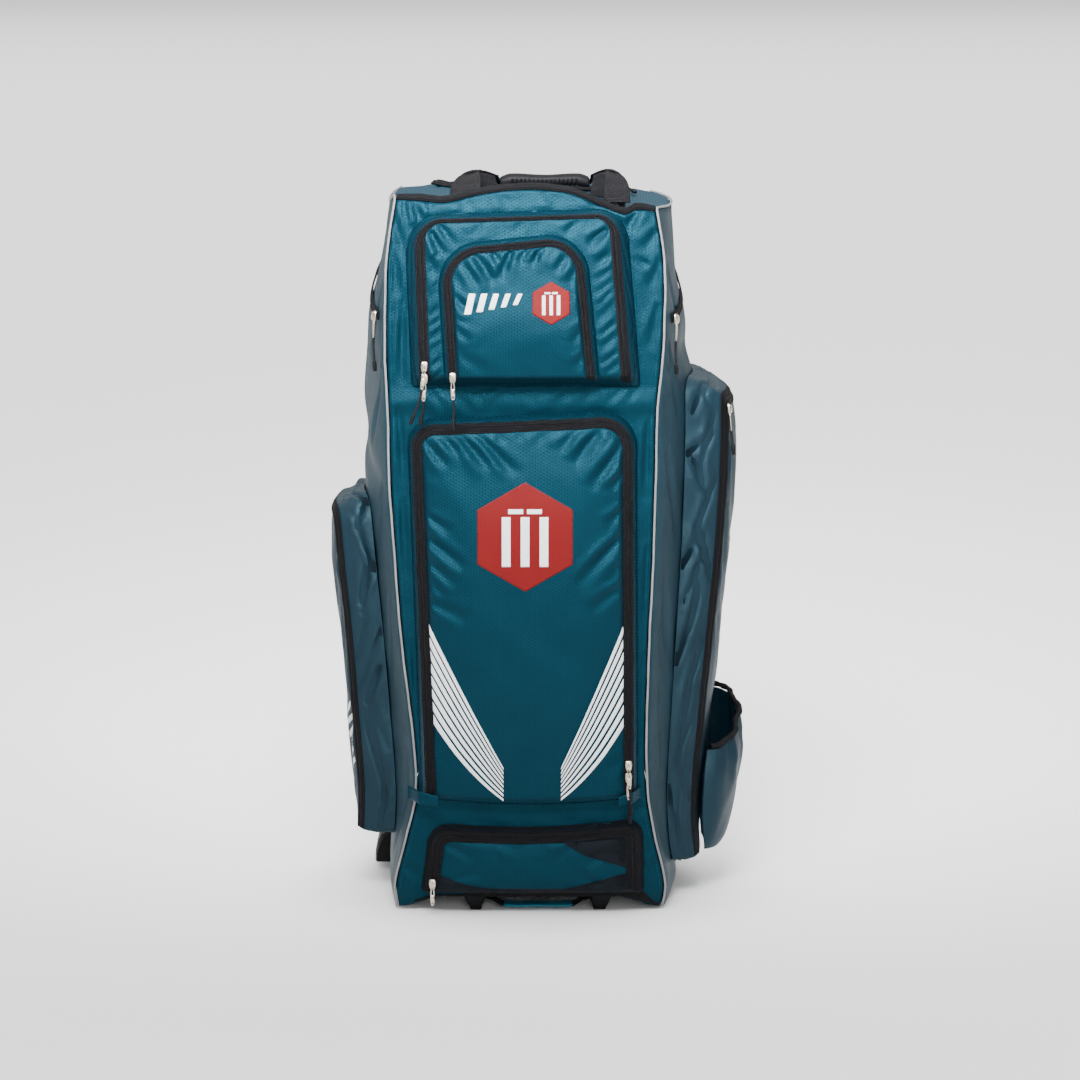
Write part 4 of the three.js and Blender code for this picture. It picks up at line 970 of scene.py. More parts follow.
class Pocket:
    """A domed pocket: a rounded loop, its rise by inset from the edge, and its face inside the zip."""

    def __init__(self, corners, insets, face, place, relief, sides, low=1.0, high=1.0, bows=(0, 0)):
        self.corners = corners
        self.insets = insets
        self.face = face
        self.place = place
        self.relief = relief
        self.sides = sides
        self.low = low
        self.high = high
        self.bows = bows
        bl, tl, tr, br = corners
        self.centre = np.array([(bl[0] + br[0] + tl[0] + tr[0]) / 4, (bl[1] + br[1] + tl[1] + tr[1]) / 4])
        self.inner_reach = self.reach_of(insets["inset"][-1])
        self.outer_reach = self.reach_of(0)

    def reach_of(self, inset):
        """Angle and distance from the middle of each point of a loop, in order of angle."""
        points = self.loop(inset) - self.centre
        angle = np.arctan2(points[:, 1], points[:, 0])
        order = np.argsort(angle)
        return angle[order], np.hypot(points[:, 0], points[:, 1])[order]

    def clear_of(self, x, z, margin=4.0):
        """0 under the pocket and 1 from that far outside it."""
        off_x, off_z = x - self.centre[0], z - self.centre[1]
        reach = np.interp(np.arctan2(off_z, off_x), *self.outer_reach, period=2 * np.pi)
        return ease((np.hypot(off_x, off_z) - reach) / margin)

    def loop(self, inset):
        """Points round the pocket, that far in from its edge."""
        low = inset * self.low
        high = inset * self.high
        bl, tl, tr, br = self.corners
        rows = [
            (bl[0] + inset, bl[1] + low, bl[2], 1, 1, 270),
            (tl[0] + inset, tl[1] - high, tl[2], 1, -1, 180),
            (tr[0] - inset, tr[1] - high, tr[2], -1, -1, 90),
            (br[0] - inset, br[1] + low, br[2], -1, 1, 0),
        ]
        arcs = []
        for (x, z, r, in_x, in_z, turn), steps in zip(rows, ARC_STEPS):
            radius = max(r - inset, 2)
            angle = np.radians(turn - 90 * np.linspace(0, 1, steps + 1))
            arcs.append(np.stack([x + in_x * radius + radius * np.cos(angle),
                                  z + in_z * radius + radius * np.sin(angle)], axis=1))
        parts = []
        for i, arc in enumerate(arcs):
            following = arcs[(i + 1) % 4][0]
            share = np.linspace(0, 1, self.sides[i] + 1)[1:-1, None]
            parts += [arc, mix(arc[-1], following, share)]
        points = np.concatenate(parts)
        middle = (bl[0] + br[0]) / 2
        u = np.minimum(np.abs(points[:, 0] - middle) / ((br[0] - bl[0]) / 2), 1)
        v = (points[:, 1] - bl[1]) / (tl[1] - bl[1])
        points[:, 1] += mix(self.bows[0], self.bows[1], v) * (1 - u * u)
        return points

    def deep(self, x, z):
        """How far from the zip (0) to the middle (1) a point of the face is."""
        off_x, off_z = x - self.centre[0], z - self.centre[1]
        reach = np.interp(np.arctan2(off_z, off_x), *self.inner_reach, period=2 * np.pi)
        return np.clip(1 - np.hypot(off_x, off_z) / reach, 0, 1)

    def rise(self, x, z):
        deep = self.deep(x, z)
        return smooth(self.face, "rise", deep) + self.relief(x, z) * ease(deep / 0.04)

    def on(self, x, z, lift):
        """A point that far above the pocket's finished face."""
        return self.place(x, z, FOLD + WALL + self.rise(x, z) + lift)

    def skin(self, name, slot, finishes, gather, face_rings):
        """The pocket's cloth, with its gusset and lining; finishes are of the face and the gusset."""
        insets, rises = self.insets["inset"], self.insets["rise"]
        fine = np.unique(np.concatenate([np.linspace(a, b, 7) for a, b in zip(insets[:-1], insets[1:])]))
        rings, flat = [], []
        for inset in fine:
            loop = self.loop(inset)
            turned_in = mix(0.5, WALL, ease(inset / 3))
            risen_to = FOLD + turned_in + np.interp(inset, insets, rises)
            rings.append(self.place(loop[:, 0], loop[:, 1], risen_to))
            flat.append(loop)
        gusset = np.array(rings)
        travelled = lengths(flat[0])
        up = lengths(gusset[:, self.sides[0] // 2])
        bed = up[fine >= insets[-2]][0]
        held = ease(up / 3) * ease((bed - up) / 3)
        folds = crinkles(len(name), travelled[-1], bed, gather)
        wave = pleats(travelled[None, :], up[:, None], folds) * held[:, None]
        gusset = gusset + normals_of(gusset) * wave[..., None] * self.outward(gusset)
        inner = self.loop(insets[-1])
        face = []
        for deep in np.linspace(0, 1, face_rings + 1)[1:-1]:
            points = mix(inner, self.centre, deep)
            face.append(self.on(points[:, 0], points[:, 1], 0))
        outer = np.concatenate([gusset, np.array(face)])
        lining = []
        for inset in fine[::6]:
            loop = self.loop(inset)
            lining.append(self.place(loop[:, 0], loop[:, 1], FOLD + np.interp(inset, insets, rises)))
        for deep in (0.3, 0.7):
            points = mix(inner, self.centre, deep)
            lining.append(self.on(points[:, 0], points[:, 1], -WALL - 0.6))
        rings = np.concatenate([np.array(lining)[::-1], outer])
        pocket = Form()
        around = np.append(travelled, travelled[-1] + 3)[:-1]
        pocket.grid(rings, around=True, along=np.arange(len(rings)) * 3.0, across=around)
        count = rings.shape[1]
        edge_rows = range(len(lining) - 1, len(lining) + len(gusset) - 1)
        pocket.parts = [1 if k // count in edge_rows else 0 for k in range(len(pocket.faces))]
        for ring, lift, turn in ((0, -WALL - 0.6, 1), (len(rings) - 1, 0, -1)):
            pole = self.on(*self.centre, lift)
            start = ring * count
            pocket.add([pole], [], [], 0)
            top = pocket.count - 1
            for k in range(count):
                pocket.faces.append([top, start + k, start + (k + 1) % count][::turn])
                pocket.corners.append([[0.0, 0.0]] * 3)
                pocket.parts.append(0)
        return pocket.make(f"{name}_cloth", "bag", slot, finishes, [name])

    def outward(self, gusset):
        """1 or -1, so that a grid's normals point out of the pocket."""
        normal = normals_of(gusset)[2, self.sides[0] // 2]
        middle = self.place(*self.centre, 0)
        return 1.0 if normal.dot(gusset[2, self.sides[0] // 2] - middle) > 0 else -1.0

    def run(self):
        """Where the zip starts and ends along the loop."""
        return ARC_STEPS[0], ARC_STEPS[0] + ARC_STEPS[1] + ARC_STEPS[2] + sum(self.sides[:3])

    def band(self, share, lift):
        """A line along the zip, that share across it and that high above its bed."""
        start, end = self.run()
        insets, rises = self.insets["inset"], self.insets["rise"]
        share = np.broadcast_to(share, end + 1 - start)
        outer = self.loop(insets[-2])[start:end + 1]
        inner = self.loop(insets[-1])[start:end + 1]
        loop = mix(outer, inner, share[:, None])
        bed = mix(rises[-2], rises[-1], share) + FOLD + WALL + SEAM
        return self.place(loop[:, 0], loop[:, 1], bed + lift)

    def zip(self, name, wobble=0.5):
        add_zip(name, self.band, len(self.band(0, 0)), wobble)


# Section of a zip: two folded tapes beside a sunk coil; share across, height, and 1 where the coil is
ZIP_SECTION = [
    (0.0, 0.0, 0), (0.0, 0.8, 0), (0.05, 1.1, 0), (0.11, 0.7, 0), (0.17, 1.8, 0), (0.28, 2.5, 0),
    (0.39, 2.2, 0), (0.44, 0.9, 1), (0.47, 1.5, 1), (0.5, 1.8, 1), (0.53, 1.5, 1), (0.56, 0.9, 0),
    (0.61, 2.2, 0), (0.72, 2.5, 0), (0.83, 1.8, 0), (0.89, 0.7, 0), (0.95, 1.1, 0), (1.0, 0.8, 0),
    (1.0, 0.0, 0), (0.5, 0.0, 0),
]


def add_zip(name, band, count, wobble, height=1.0):
    """A zip swept along a band; band gives the line at a share across and a height."""
    spine = lengths(band(0.5, 0))
    rows = []
    for share, lift, _ in ZIP_SECTION:
        uneven = wobble * np.sin(spine / 11 + 9 * share) * np.sin(spine / 37 + share) if lift > 1 else 0
        sway = 0.035 * wobble * (np.sin(spine / 13 + 1) + np.sin(spine / 5.3)) if lift > 0 else 0
        rows.append(band(share + sway, lift * height + uneven))
    rings = np.array(rows).transpose(1, 0, 2)
    strip = Form()
    width = np.linalg.norm(rings[count // 2][1] - rings[count // 2][-3])
    across = np.array([share * width for share, _, _ in ZIP_SECTION])
    strip.loft(rings, part=[part for _, _, part in ZIP_SECTION], along=spine, across=across)
    strip.make(f"{name}_tape", "bag", "zip_tape", [ZIP_TAPE, ZIP_COIL], [name])


# Folds read from the photo, on each cloth: start across and up, end across and up, height, width
UPPER_FOLDS = [
    (-132, 896, -108, 856, 4.2, 6), (-118, 902, -96, 868, 2.8, 6), (-134, 862, -116, 830, 2.6, 6),
    (-60, 900, -72, 880, 1.8, 6), (-10, 903, -18, 886, 1.6, 6), (104, 894, 72, 872, 4.2, 6),
    (112, 868, 84, 846, 3.6, 6), (60, 902, 44, 884, 2.2, 6),
]
SMALL_FOLDS = [
    (-72, 864, -43, 822, 4.6, 7), (-86, 850, -62, 820, 2.8, 6), (-21, 872, -38, 828, 3.8, 6),
    (-48, 868, -34, 838, 2.4, 6), (18, 872, 0, 846, 3.0, 6), (0, 872, -14, 850, 2.2, 5),
    (48, 864, 32, 838, 3.0, 6), (63, 848, 44, 822, 2.8, 6), (-94, 808, -74, 786, 2.6, 6),
    (-93, 770, -76, 750, 2.2, 6), (72, 776, 50, 748, 3.2, 6), (72, 808, 58, 790, 2.4, 6),
    (-88, 736, -56, 712, 1.8, 8), (70, 736, 54, 716, 1.8, 7),
]
MAIN_FOLDS = [
    (-96, 636, -50, 586, 5.2, 8), (-73, 636, -16, 577, 4.6, 7), (-118, 634, -84, 600, 3.6, 7),
    (-132, 618, -104, 588, 3.0, 7), (-46, 640, -34, 618, 2.6, 7), (-10, 641, -16, 622, 2.4, 7),
    (22, 642, 14, 620, 2.2, 7), (92, 642, 54, 592, 5.2, 8), (121, 624, 76, 560, 4.8, 8),
    (62, 642, 36, 606, 3.2, 7), (126, 590, 100, 556, 3.2, 7), (-135, 500, -82, 458, 3.6, 7),
    (-134, 528, -100, 504, 2.6, 6), (-135, 470, -92, 436, 2.4, 7), (-135, 418, -78, 391, 2.6, 8),
    (122, 505, 58, 438, 4.4, 8), (124, 540, 96, 514, 2.6, 6), (120, 438, 76, 404, 3.0, 8),
    (124, 470, 100, 448, 2.2, 6), (-130, 220, -96, 200, 1.4, 9), (122, 210, 92, 190, 1.4, 9),
]
BOTTOM_FOLDS = [
    (-110, 96, -70, 78, 2.2, 7), (-40, 100, -10, 84, 1.8, 8), (60, 96, 30, 76, 2.2, 8),
    (110, 92, 70, 70, 2.2, 7), (-100, 50, -60, 60, 1.8, 7), (90, 46, 60, 58, 1.8, 7),
]
LEFT_POCKET_FOLDS = [
    (-70, 500, -30, 380, 4.7, 10), (-60, 380, -40, 250, 4.2, 9), (-20, 500, 10, 330, 4.4, 12),
    (40, 490, 30, 350, 3.6, 12), (-66, 240, -30, 130, 3.9, 10), (20, 320, 60, 200, 3.6, 12),
    (70, 460, 60, 300, 3.1, 10), (-10, 220, 40, 120, 3.4, 11),
]
RIGHT_POCKET_FOLDS = [
    (-72, 650, -40, 520, 4.4, 10), (-70, 520, -46, 380, 4.2, 9), (-20, 640, 0, 470, 3.9, 12),
    (50, 640, 40, 480, 3.6, 12), (-62, 370, -30, 270, 3.6, 10), (10, 450, 50, 320, 3.6, 12),
    (80, 560, 70, 380, 2.9, 10), (-10, 320, 20, 262, 3.1, 11),
]


def cloth_relief(folds, uneven, length, phase):
    return lambda a, b: pleats(a, b, folds) + uneven * ripple(a, b, length, phase)


SMALL_EMBLEM = (27, 800)
MAIN_EMBLEM = (-6, 500)
small_relief = cloth_relief(
    SMALL_FOLDS + zip_puckers(11, [(-90, 740), (-96, 862), (58, 868), (70, 740)], 5, 26, 1.2, 5.5),
    0.8, 60, 1.4)
small = Pocket(
    [(-108, 696, 4), (-115, 876, 56), (76, 884, 54), (89, 696, 4)], SMALL_INSETS,
    risen("at", SMALL_RISE, (0, 0.8), (0.25, 0.95), (0.6, 1), (1, 1)),
    on_upper_pocket_over_foot,
    lambda x, z: small_relief(x, z) * calm_round(x, z, SMALL_EMBLEM, 24, 14) + belly(z, 768, 7, 46),
    (48, 44, 48, 44), low=0.3, high=0.8)
upper_relief = cloth_relief(
    UPPER_FOLDS + slanted_folds(3, (-130, -132), (-113, -115), 700, 850, 16, 2.6, 4.2)
    + slanted_folds(4, (92, 80), (116, 106), 700, 860, 18, 2.6, 4.6), 0.9, 60, 0.4)
upper = Pocket(
    [(-151, 688, 4), (-157, 908, 48), (126, 914, 44), (141, 688, 4)], UPPER_INSETS,
    risen("at", UPPER_RISE, (0, 1), (0.3, 1), (0.65, 1), (1, 1)),
    on_front_over_foot,
    lambda x, z: upper_relief(x, z) * small.clear_of(x, z),
    (60, 52, 60, 52), low=0.3, high=0.4)
main_relief = cloth_relief(
    MAIN_FOLDS + zip_puckers(5, [(-126, 400), (-136, 632), (118, 640), (122, 400)], 6, 30, 1.3, 6.0),
    1.0, 105, 2.2)
main = Pocket(
    [(-140, 153, 4), (-156, 648, 36), (137, 657, 46), (140, 153, 4)], MAIN_INSETS,
    risen("at", MAIN_RISE, (0, 0.66), (0.12, 0.78), (0.28, 0.9), (0.48, 1), (0.74, 1), (1, 1)),
    on_front,
    lambda x, z: main_relief(x, z) * calm_round(x, z, MAIN_EMBLEM, 66, 26) + belly(z, 470, 6, 130),
    (110, 56, 110, 56), bows=(-8, 0), low=0.6)
bottom = Pocket(
    [(-141, 27, 4), (-134, 122, 34), (147, 126, 26), (148, 27, 4)], BOTTOM_INSETS,
    risen("at", BOTTOM_RISE, (0, 0.92), (0.3, 1), (0.7, 1.05), (1, 1.05)),
    on_front,
    cloth_relief(BOTTOM_FOLDS, 0.8, 60, 3.1),
    (24, 60, 24, 60), low=0.5, high=0.8, bows=(0, -9))
left_pocket = Pocket(
    [(-96, 86, 10), (-92, 536, 40), (104, 536, 40), (108, 86, 10)],
    risen("inset", LEFT_POCKET_RISE, (0, 0), (6, 0.4), (14, 0.78), (14 + SIDE_ZIP_WIDTH, 0.92)),
    risen("at", LEFT_POCKET_RISE, (0, 0.92), (0.2, 0.98), (0.55, 1), (1, 1)),
    on_left,
    cloth_relief(LEFT_POCKET_FOLDS, 1.4, 90, 0.8),
    (120, 44, 120, 44), low=0.15, high=1.2)
right_pocket = Pocket(
    [(-102, 50, 10), (-98, 690, 30), (110, 690, 30), (112, 50, 44)],
    risen("inset", RIGHT_POCKET_RISE, (0, 0), (6, 0.4), (14, 0.76), (14 + SIDE_ZIP_WIDTH, 0.9)),
    risen("at", RIGHT_POCKET_RISE, (0, 0.9), (0.2, 0.96), (0.45, 0.97), (0.72, 0.97), (1, 0.97)),
    on_right,
    cloth_relief(RIGHT_POCKET_FOLDS, 1.4, 95, 1.9),
    (160, 46, 160, 46), low=0.2, high=1.5)

POCKETS = [
    ("upper_pocket", upper, "upper_zip", "teal_cloth", TEAL_CLOTH, 1.6, 44),
    ("small_pocket", small, "small_zip", "teal_cloth", TEAL_CLOTH, 0.9, 52),
    ("main_pocket", main, "main_zip", "teal_cloth", TEAL_CLOTH, 1.1, 76),
    ("bottom_pocket", bottom, "bottom_zip", "teal_cloth", TEAL_CLOTH, 0.9, 30),
    ("left_pocket", left_pocket, "left_pocket_zip", "side_cloth", POCKET_CLOTH, 4.6, 44),
    ("right_pocket", right_pocket, "right_pocket_zip", "side_cloth", POCKET_CLOTH, 5.0, 46),
]
for pocket_name, pocket, zip_name, slot_name, finish, gather, rings in POCKETS:
    edge_finish = BLACK_CLOTH if pocket is bottom else finish
    pocket.skin(pocket_name, slot_name, [finish, edge_finish], gather, rings)
    pocket.zip(zip_name)


# Body panels
def sheet_of(place, us, vs, inward):
    u, v = np.meshgrid(us, vs)
    return place(u, v, 0), place(u, v, inward)


FRONT_FOLDS = [
    (-146, 915, -138, 896, 4.6, 7), (-160, 918, -150, 876, 3.4, 6), (-172, 905, -158, 850, 3.6, 8),
    (-176, 870, -166, 800, 3.2, 7), (-130, 922, -122, 912, 2.4, 6), (-148, 828, -162, 782, 3.2, 6),
    (-162, 782, -164, 690, 3.2, 6), (137, 911, 106, 872, 5.4, 8), (164, 890, 142, 862, 3.4, 7),
    (134, 850, 152, 840, 3.4, 5), (166, 850, 150, 812, 2.8, 7), (162, 790, 152, 736, 2.6, 7),
    (-90, 926, -72, 910, 2.2, 9), (-40, 930, -20, 914, 2.0, 9), (20, 934, 36, 918, 2.0, 9),
    (72, 926, 92, 914, 2.2, 8), (-168, 660, -160, 560, 3.0, 6), (-164, 540, -158, 440, 2.6, 6),
    (-150, 360, -146, 250, 2.4, 5), (150, 640, 146, 540, 2.8, 6), (150, 480, 146, 380, 2.4, 5),
    (146, 340, 144, 240, 2.2, 5), (-146, 140, -120, 132, 2.0, 7), (150, 140, 130, 134, 1.8, 7),
    (-166, 62, -142, 44, 2.4, 7), (166, 70, 150, 50, 2.2, 7), (-128, 684, -106, 658, 1.5, 6),
    (-112, 686, -70, 656, 1.9, 7), (-72, 686, -58, 664, 1.2, 6), (-30, 686, -50, 660, 1.6, 7),
    (-8, 686, 10, 662, 1.3, 6), (52, 686, 28, 662, 1.7, 7), (84, 686, 62, 664, 1.5, 6),
    (118, 686, 94, 664, 1.5, 6), (136, 684, 118, 664, 1.2, 6),
]
WAIST_SEAM = 686


def front_relief(x, z):
    seam_dip = -0.9 * np.exp(-(((z - WAIST_SEAM) / 1.6) ** 2)) * (np.abs(x) < 172)
    rim_gathers = 0.5 * pucker(x, np.maximum(912 - z, 0) * 0.6, 22, 14, 2.0)
    outer = np.minimum(np.abs(x - edge_x(-1, z)), np.abs(x - edge_x(1, z)))
    edge_gathers = 0.5 * pucker(z, outer, 24, 12, 0.6)
    calm = ease(outer / 4)
    for pocket in (upper, main, bottom):
        calm = calm * pocket.clear_of(x, z)
    fullness = 3.2 * np.exp(-(((z - 668) / 12) ** 2)) + 2.4 * np.exp(-(((z - 904) / 16) ** 2))
    folds = pleats(x, z, FRONT_FOLDS) + rim_gathers + edge_gathers + 0.9 * ripple(x, z, 60, 1.2) + fullness
    return folds * calm + seam_dip


def front_bulge(x, z):
    """The front's relief, held below its pockets' edges."""
    return np.minimum(front_relief(x, z), 4.0)


def front_place(u, v, inward):
    z = mix(underside_z(u, 0), rim_z(u), v)
    x = across_body(u, z)
    return spot(x, front_y(x, z) - front_bulge(x, z) + inward, z)


def inside_border(u, t, reach_u, reach_t):
    """0 at a panel's border and 1 that share inside it; u runs from -1 to 1 and t from 0 to 1."""
    return ease(np.minimum((1 - np.abs(u)) / reach_u, np.minimum(t, 1 - t) / reach_t))


SIDE_PLEATS = {
    -1: [(-150, 820, -90, 700, 3.0, 10), (-150, 700, -110, 600, 2.6, 9), (-150, 560, -110, 470, 2.4, 9),
         (120, 860, 60, 700, 3.0, 12), (140, 640, 124, 420, 2.6, 9), (-146, 420, -112, 300, 2.2, 8),
         (-140, 200, -110, 60, 2.2, 8), (142, 340, 124, 160, 2.4, 9), (0, 740, 20, 580, 2.0, 14)],
    1: [(-150, 840, -100, 760, 2.8, 9), (-150, 740, -116, 640, 2.6, 8), (-148, 600, -116, 480, 2.4, 8),
        (120, 860, 60, 740, 3.0, 12), (140, 640, 126, 420, 2.6, 9), (-144, 440, -116, 320, 2.4, 8),
        (-142, 300, -118, 180, 2.2, 8), (142, 340, 126, 160, 2.4, 9)],
}


def side_place(side):
    def place(t, v, inward):
        z = mix(underside_z(side, t), top_z(side, t) - CLEAR, v)
        y = mix(front_edge_y(z) + CLEAR, back_edge_y(z), t)
        border = np.minimum(np.minimum(t, 1 - t) / 0.05, np.minimum(v, 1 - v) / 0.03)
        bulge = 1.7 * pleats(y, z, SIDE_PLEATS[side]) + 1.3 * ripple(y, z, 110, 1.0 + side)
        return spot(folded_side_x(side, y, z) + side * (np.minimum(bulge, 0.5) * ease(border) - inward), y, z)
    return place


BACK_FOLDS = [
    (-140, 880, -60, 760, 2.2, 14), (140, 880, 70, 750, 2.2, 14), (-150, 600, -60, 540, 1.8, 14),
    (150, 560, 70, 500, 1.8, 14), (-120, 300, -40, 240, 1.8, 14), (130, 280, 40, 200, 1.8, 14),
]


def back_place(u, v, inward):
    z = mix(underside_z(u, 1), top_z(u, 1), v)
    x = across_body(u, z)
    seams = sum(-1.4 * np.exp(-(((u - line) * HALF_WIDTH / 2.2) ** 2)) for line in (-0.6, 0.6))
    border = inside_border(u, v, 0.06, 0.03)
    bulge = (pleats(x, z, BACK_FOLDS) + 0.8 * ripple(x, z, 120, 0.2) + seams) * border
    return spot(x, back_edge_y(z) + BACK_CROWN * (1 - u * u) + bulge - inward, z)


TOP_FOLDS = [
    (-150, -110, -120, -60, 2.6, 9), (150, -100, 130, -50, 2.6, 9), (-140, 20, -90, 60, 2.2, 12),
    (40, 120, -30, 130, 2.2, 12), (140, 60, 120, 120, 2.2, 10),
]


def top_place(u, t, inward):
    z = top_z(u, t)
    y = mix(front_edge_y(z) + BINDING_THICKNESS, back_edge_y(z) - CLEAR, t)
    x = mix(side_x(-1, y, z) + CLEAR, side_x(1, y, z) - CLEAR, (u + 1) / 2)
    border = inside_border(u, t, 0.08, 0.06)
    bulge = (pleats(x, y, TOP_FOLDS) + 0.6 * ripple(x, y, 80, 0.9)) * border
    return spot(x, y, z + np.minimum(bulge, 0.4) - inward)


def base_place(u, t, inward):
    z = underside_z(u, t) + SEAM
    y = mix(front_edge_y(z) + CLEAR, back_edge_y(z) - CLEAR, t)
    x = mix(side_x(-1, y, z) + 2 * CLEAR, side_x(1, y, z) - 2 * CLEAR, (u + 1) / 2)
    border = inside_border(u, t, 0.08, 0.06)
    return spot(x, y, z + inward + np.maximum(0.8 * ripple(x, y, 90, 0.5), -0.2) * border)


# Name, place, where its first coordinate starts, points each way, slot and finish
PANELS = [
    ("front_panel", front_place, -1, 120, 230, "teal_cloth", TEAL_CLOTH),
    ("side_panel_left", side_place(-1), 0, 90, 190, "side_cloth", SIDE_CLOTH),
    ("side_panel_right", side_place(1), 0, 90, 190, "side_cloth", SIDE_CLOTH),
    ("back_panel", back_place, -1, 80, 130, "side_cloth", BACK_CLOTH),
    ("top_panel", top_place, -1, 100, 90, "teal_cloth", TOP_CLOTH),
    ("base_panel", base_place, -1, 60, 60, "black_cloth", BLACK_CLOTH),
]
for panel_name, place, low, columns, rows, slot_name, finish in PANELS:
    outer, inner = sheet_of(place, np.linspace(low, 1, columns), np.linspace(0, 1, rows), WALL)
    cloth = Form()
    cloth.shell(outer, inner)
    cloth.make(f"{panel_name}_cloth", "bag", slot_name, [finish], [panel_name])


def add_piping(end, side):
    """Piping up one front corner of the bag and back along its top."""
    bend = 2.5
    foot_z, rim = float(underside_z(side, 0)), float(rim_z(side))
    heights = np.append(mix(foot_z, rim, np.linspace(0, 1, 170)), float(top_z(side, 0)) - bend)
    sway = 0.35 * np.sin(heights / 23 + side) + 0.25 * np.sin(heights / 9)
    upright = spot(edge_x(side, heights) + sway * 0.5, front_edge_y(heights) + sway * 0.3, heights)
    t = np.linspace(0, 1, 60)
    z = top_z(side, t)
    y = mix(front_edge_y(z) + bend, back_edge_y(z) - PIPING_RADIUS, t)
    level = spot(side_x(side, y, z), y, z)
    turn = (upright[-1] + level[0]) / 2 + np.array([0, -0.2 * bend, 0.2 * bend])
    piping = Form()
    piping.tube(np.concatenate([upright, [turn], level]), PIPING_RADIUS * 0.68, 10)
    piping.make(f"piping_cord_{end}", "bag", "piping", [GREY_PIPING], [f"piping_{end}"])


add_piping("left", -1)
add_piping("right", 1)

# Section of the binding: out from the cloth, and share of its height
BINDING_SECTION = [
    (-0.6, 0.0), (-1.3, 0.08), (-1.7, 0.3), (-1.9, 0.6), (-1.3, 0.86), (0.2, 1.0), (1.8, 1.0), (3.0, 0.8),
    (3.0, 0.45), (2.6, 0.1), (1.2, 0.0),
]


def add_binding():
    """Black binding folded over the front rim."""
    u = np.linspace(-1, 1, 220)
    z = rim_z(u) + SEAM
    x = across_body(u, z)
    y = front_y(x, z) + SEAM
    height = BINDING_HEIGHT * mix(0.8, 1, ease((1 - np.abs(u)) / 0.15))
    gathers = 0.45 * np.sin(x / 3.4 + 2 * np.sin(x / 19)) + 0.3 * np.sin(x / 7.7)
    rings = []
    for out, up in BINDING_SECTION:
        gathered = gathers * 0.6 if out < 0 else 0
        rings.append(spot(x, y + out + gathered, z + height * up + gathers * 0.5 * (up > 0.2)))
    binding = Form()
    binding.loft(np.array(rings).transpose(1, 0, 2))
    binding.make("rim_binding_tape", "bag", "black_cloth", [BINDING_TAPE], ["rim_binding"])


add_binding()

# Section of a cloth tab: share of its height, and out from the cloth
TAB_SECTION = [
    (0, 0), (0.25, 0), (0.5, 0), (0.75, 0), (1, 0), (1.03, 1), (1, 2), (0.85, 2.2), (0.65, 1.8), (0.5, 2.1),
    (0.35, 1.8), (0.15, 2.2), (0, 2), (-0.03, 1),
]


def add_zip_tab(name, from_x, to_x, tab_z, tab_height):
    """Cloth tab over a lower end of the main zip."""
    over_zip = MAIN_RISE * 0.66 + WALL + ZIP_THICKNESS + FOLD + 2 * SEAM
    x = np.linspace(from_x, to_x, 26)
    inward = (x - from_x) / (to_x - from_x) if from_x < 0 else (to_x - x) / (to_x - from_x)
    rise = mix(WALL * 2, over_zip, ease(inward / 0.45))
    slope = mix(4.0, -4.0, inward)
    rows = []
    for share, out in TAB_SECTION:
        wave = 0.35 * np.sin(x / 4 + 3 * share) if out > 1.5 else 0
        z = tab_z + slope + tab_height * (share - 0.5) * mix(1.0, 0.8, inward)
        rows.append(on_front(x, z, rise + out + wave))
    tab = Form()
    tab.loft(np.array(rows).transpose(1, 0, 2))
    tab.make(f"{name}_cloth", "bag", "teal_cloth", [TEAL_CLOTH], [name])


add_zip_tab("main_tab_left", -158, -118, 156, 17)
add_zip_tab("main_tab_right", 114, 144, 156, 15)

# Bottle pouch on the right pocket, gathered under its rim
POUCH = table(
    "at out width z",
    (0.0, 0.06, 0.62, 54), (0.08, 0.5, 0.8, 58), (0.25, 0.82, 0.95, 88), (0.5, 1.0, 1.0, 140),
    (0.75, 0.98, 0.98, 185), (1.0, 0.78, 0.88, 222))
# Start angle and percent of the height, end angle and percent of the height, height, width
POUCH_CREASES = [
    (-70, 10, -20, 46, 0.9, 9), (-40, 70, 10, 40, 0.8, 8), (20, 20, 60, 60, 0.9, 9),
    (-10, 90, 30, 66, 0.8, 7),
]


def pouch_point(angle, at, inward, loose=0.0):
    radians = np.radians(angle)
    lean = POUCH_LEAN * np.sin(radians) * ease((at - 0.4) / 0.6)
    z = smooth(POUCH, "z", at) + lean
    gather = 2.5 * np.sin(np.radians(angle * 8)) * ease((at - 0.3) / 0.5)
    half = POUCH_HALF_DEPTH * smooth(POUCH, "width", at)
    depth = POUCH_DEPTH * smooth(POUCH, "out", at)
    y = (half - inward) * np.sin(radians)
    face = on_right(y, z, RIGHT_POCKET_RISE + WALL + 2 * FOLD)[..., 0]
    out = np.maximum(depth + gather + loose - inward, 0) * np.cos(radians) ** 0.7
    return spot(face + out + FOLD, y, z)


def add_pouch():
    angle, at = np.meshgrid(np.linspace(-90, 90, 150) * 0.985, np.linspace(0, 1, 60))
    waves = 1.3 * np.sin(np.radians(angle * 17 + 40 * np.sin(at * 5))) * ease((at - 0.35) / 0.5)
    creases = np.minimum(waves + 1.6 * pleats(angle, at * 100, POUCH_CREASES), 1.5)
    pouch = Form()
    pouch.shell(pouch_point(angle, at, 0, creases), pouch_point(angle, at, POUCH_WALL, creases))
    pouch.make("bottle_pouch_cloth", "bag", "side_cloth", [POCKET_CLOTH], ["bottle_pouch"])


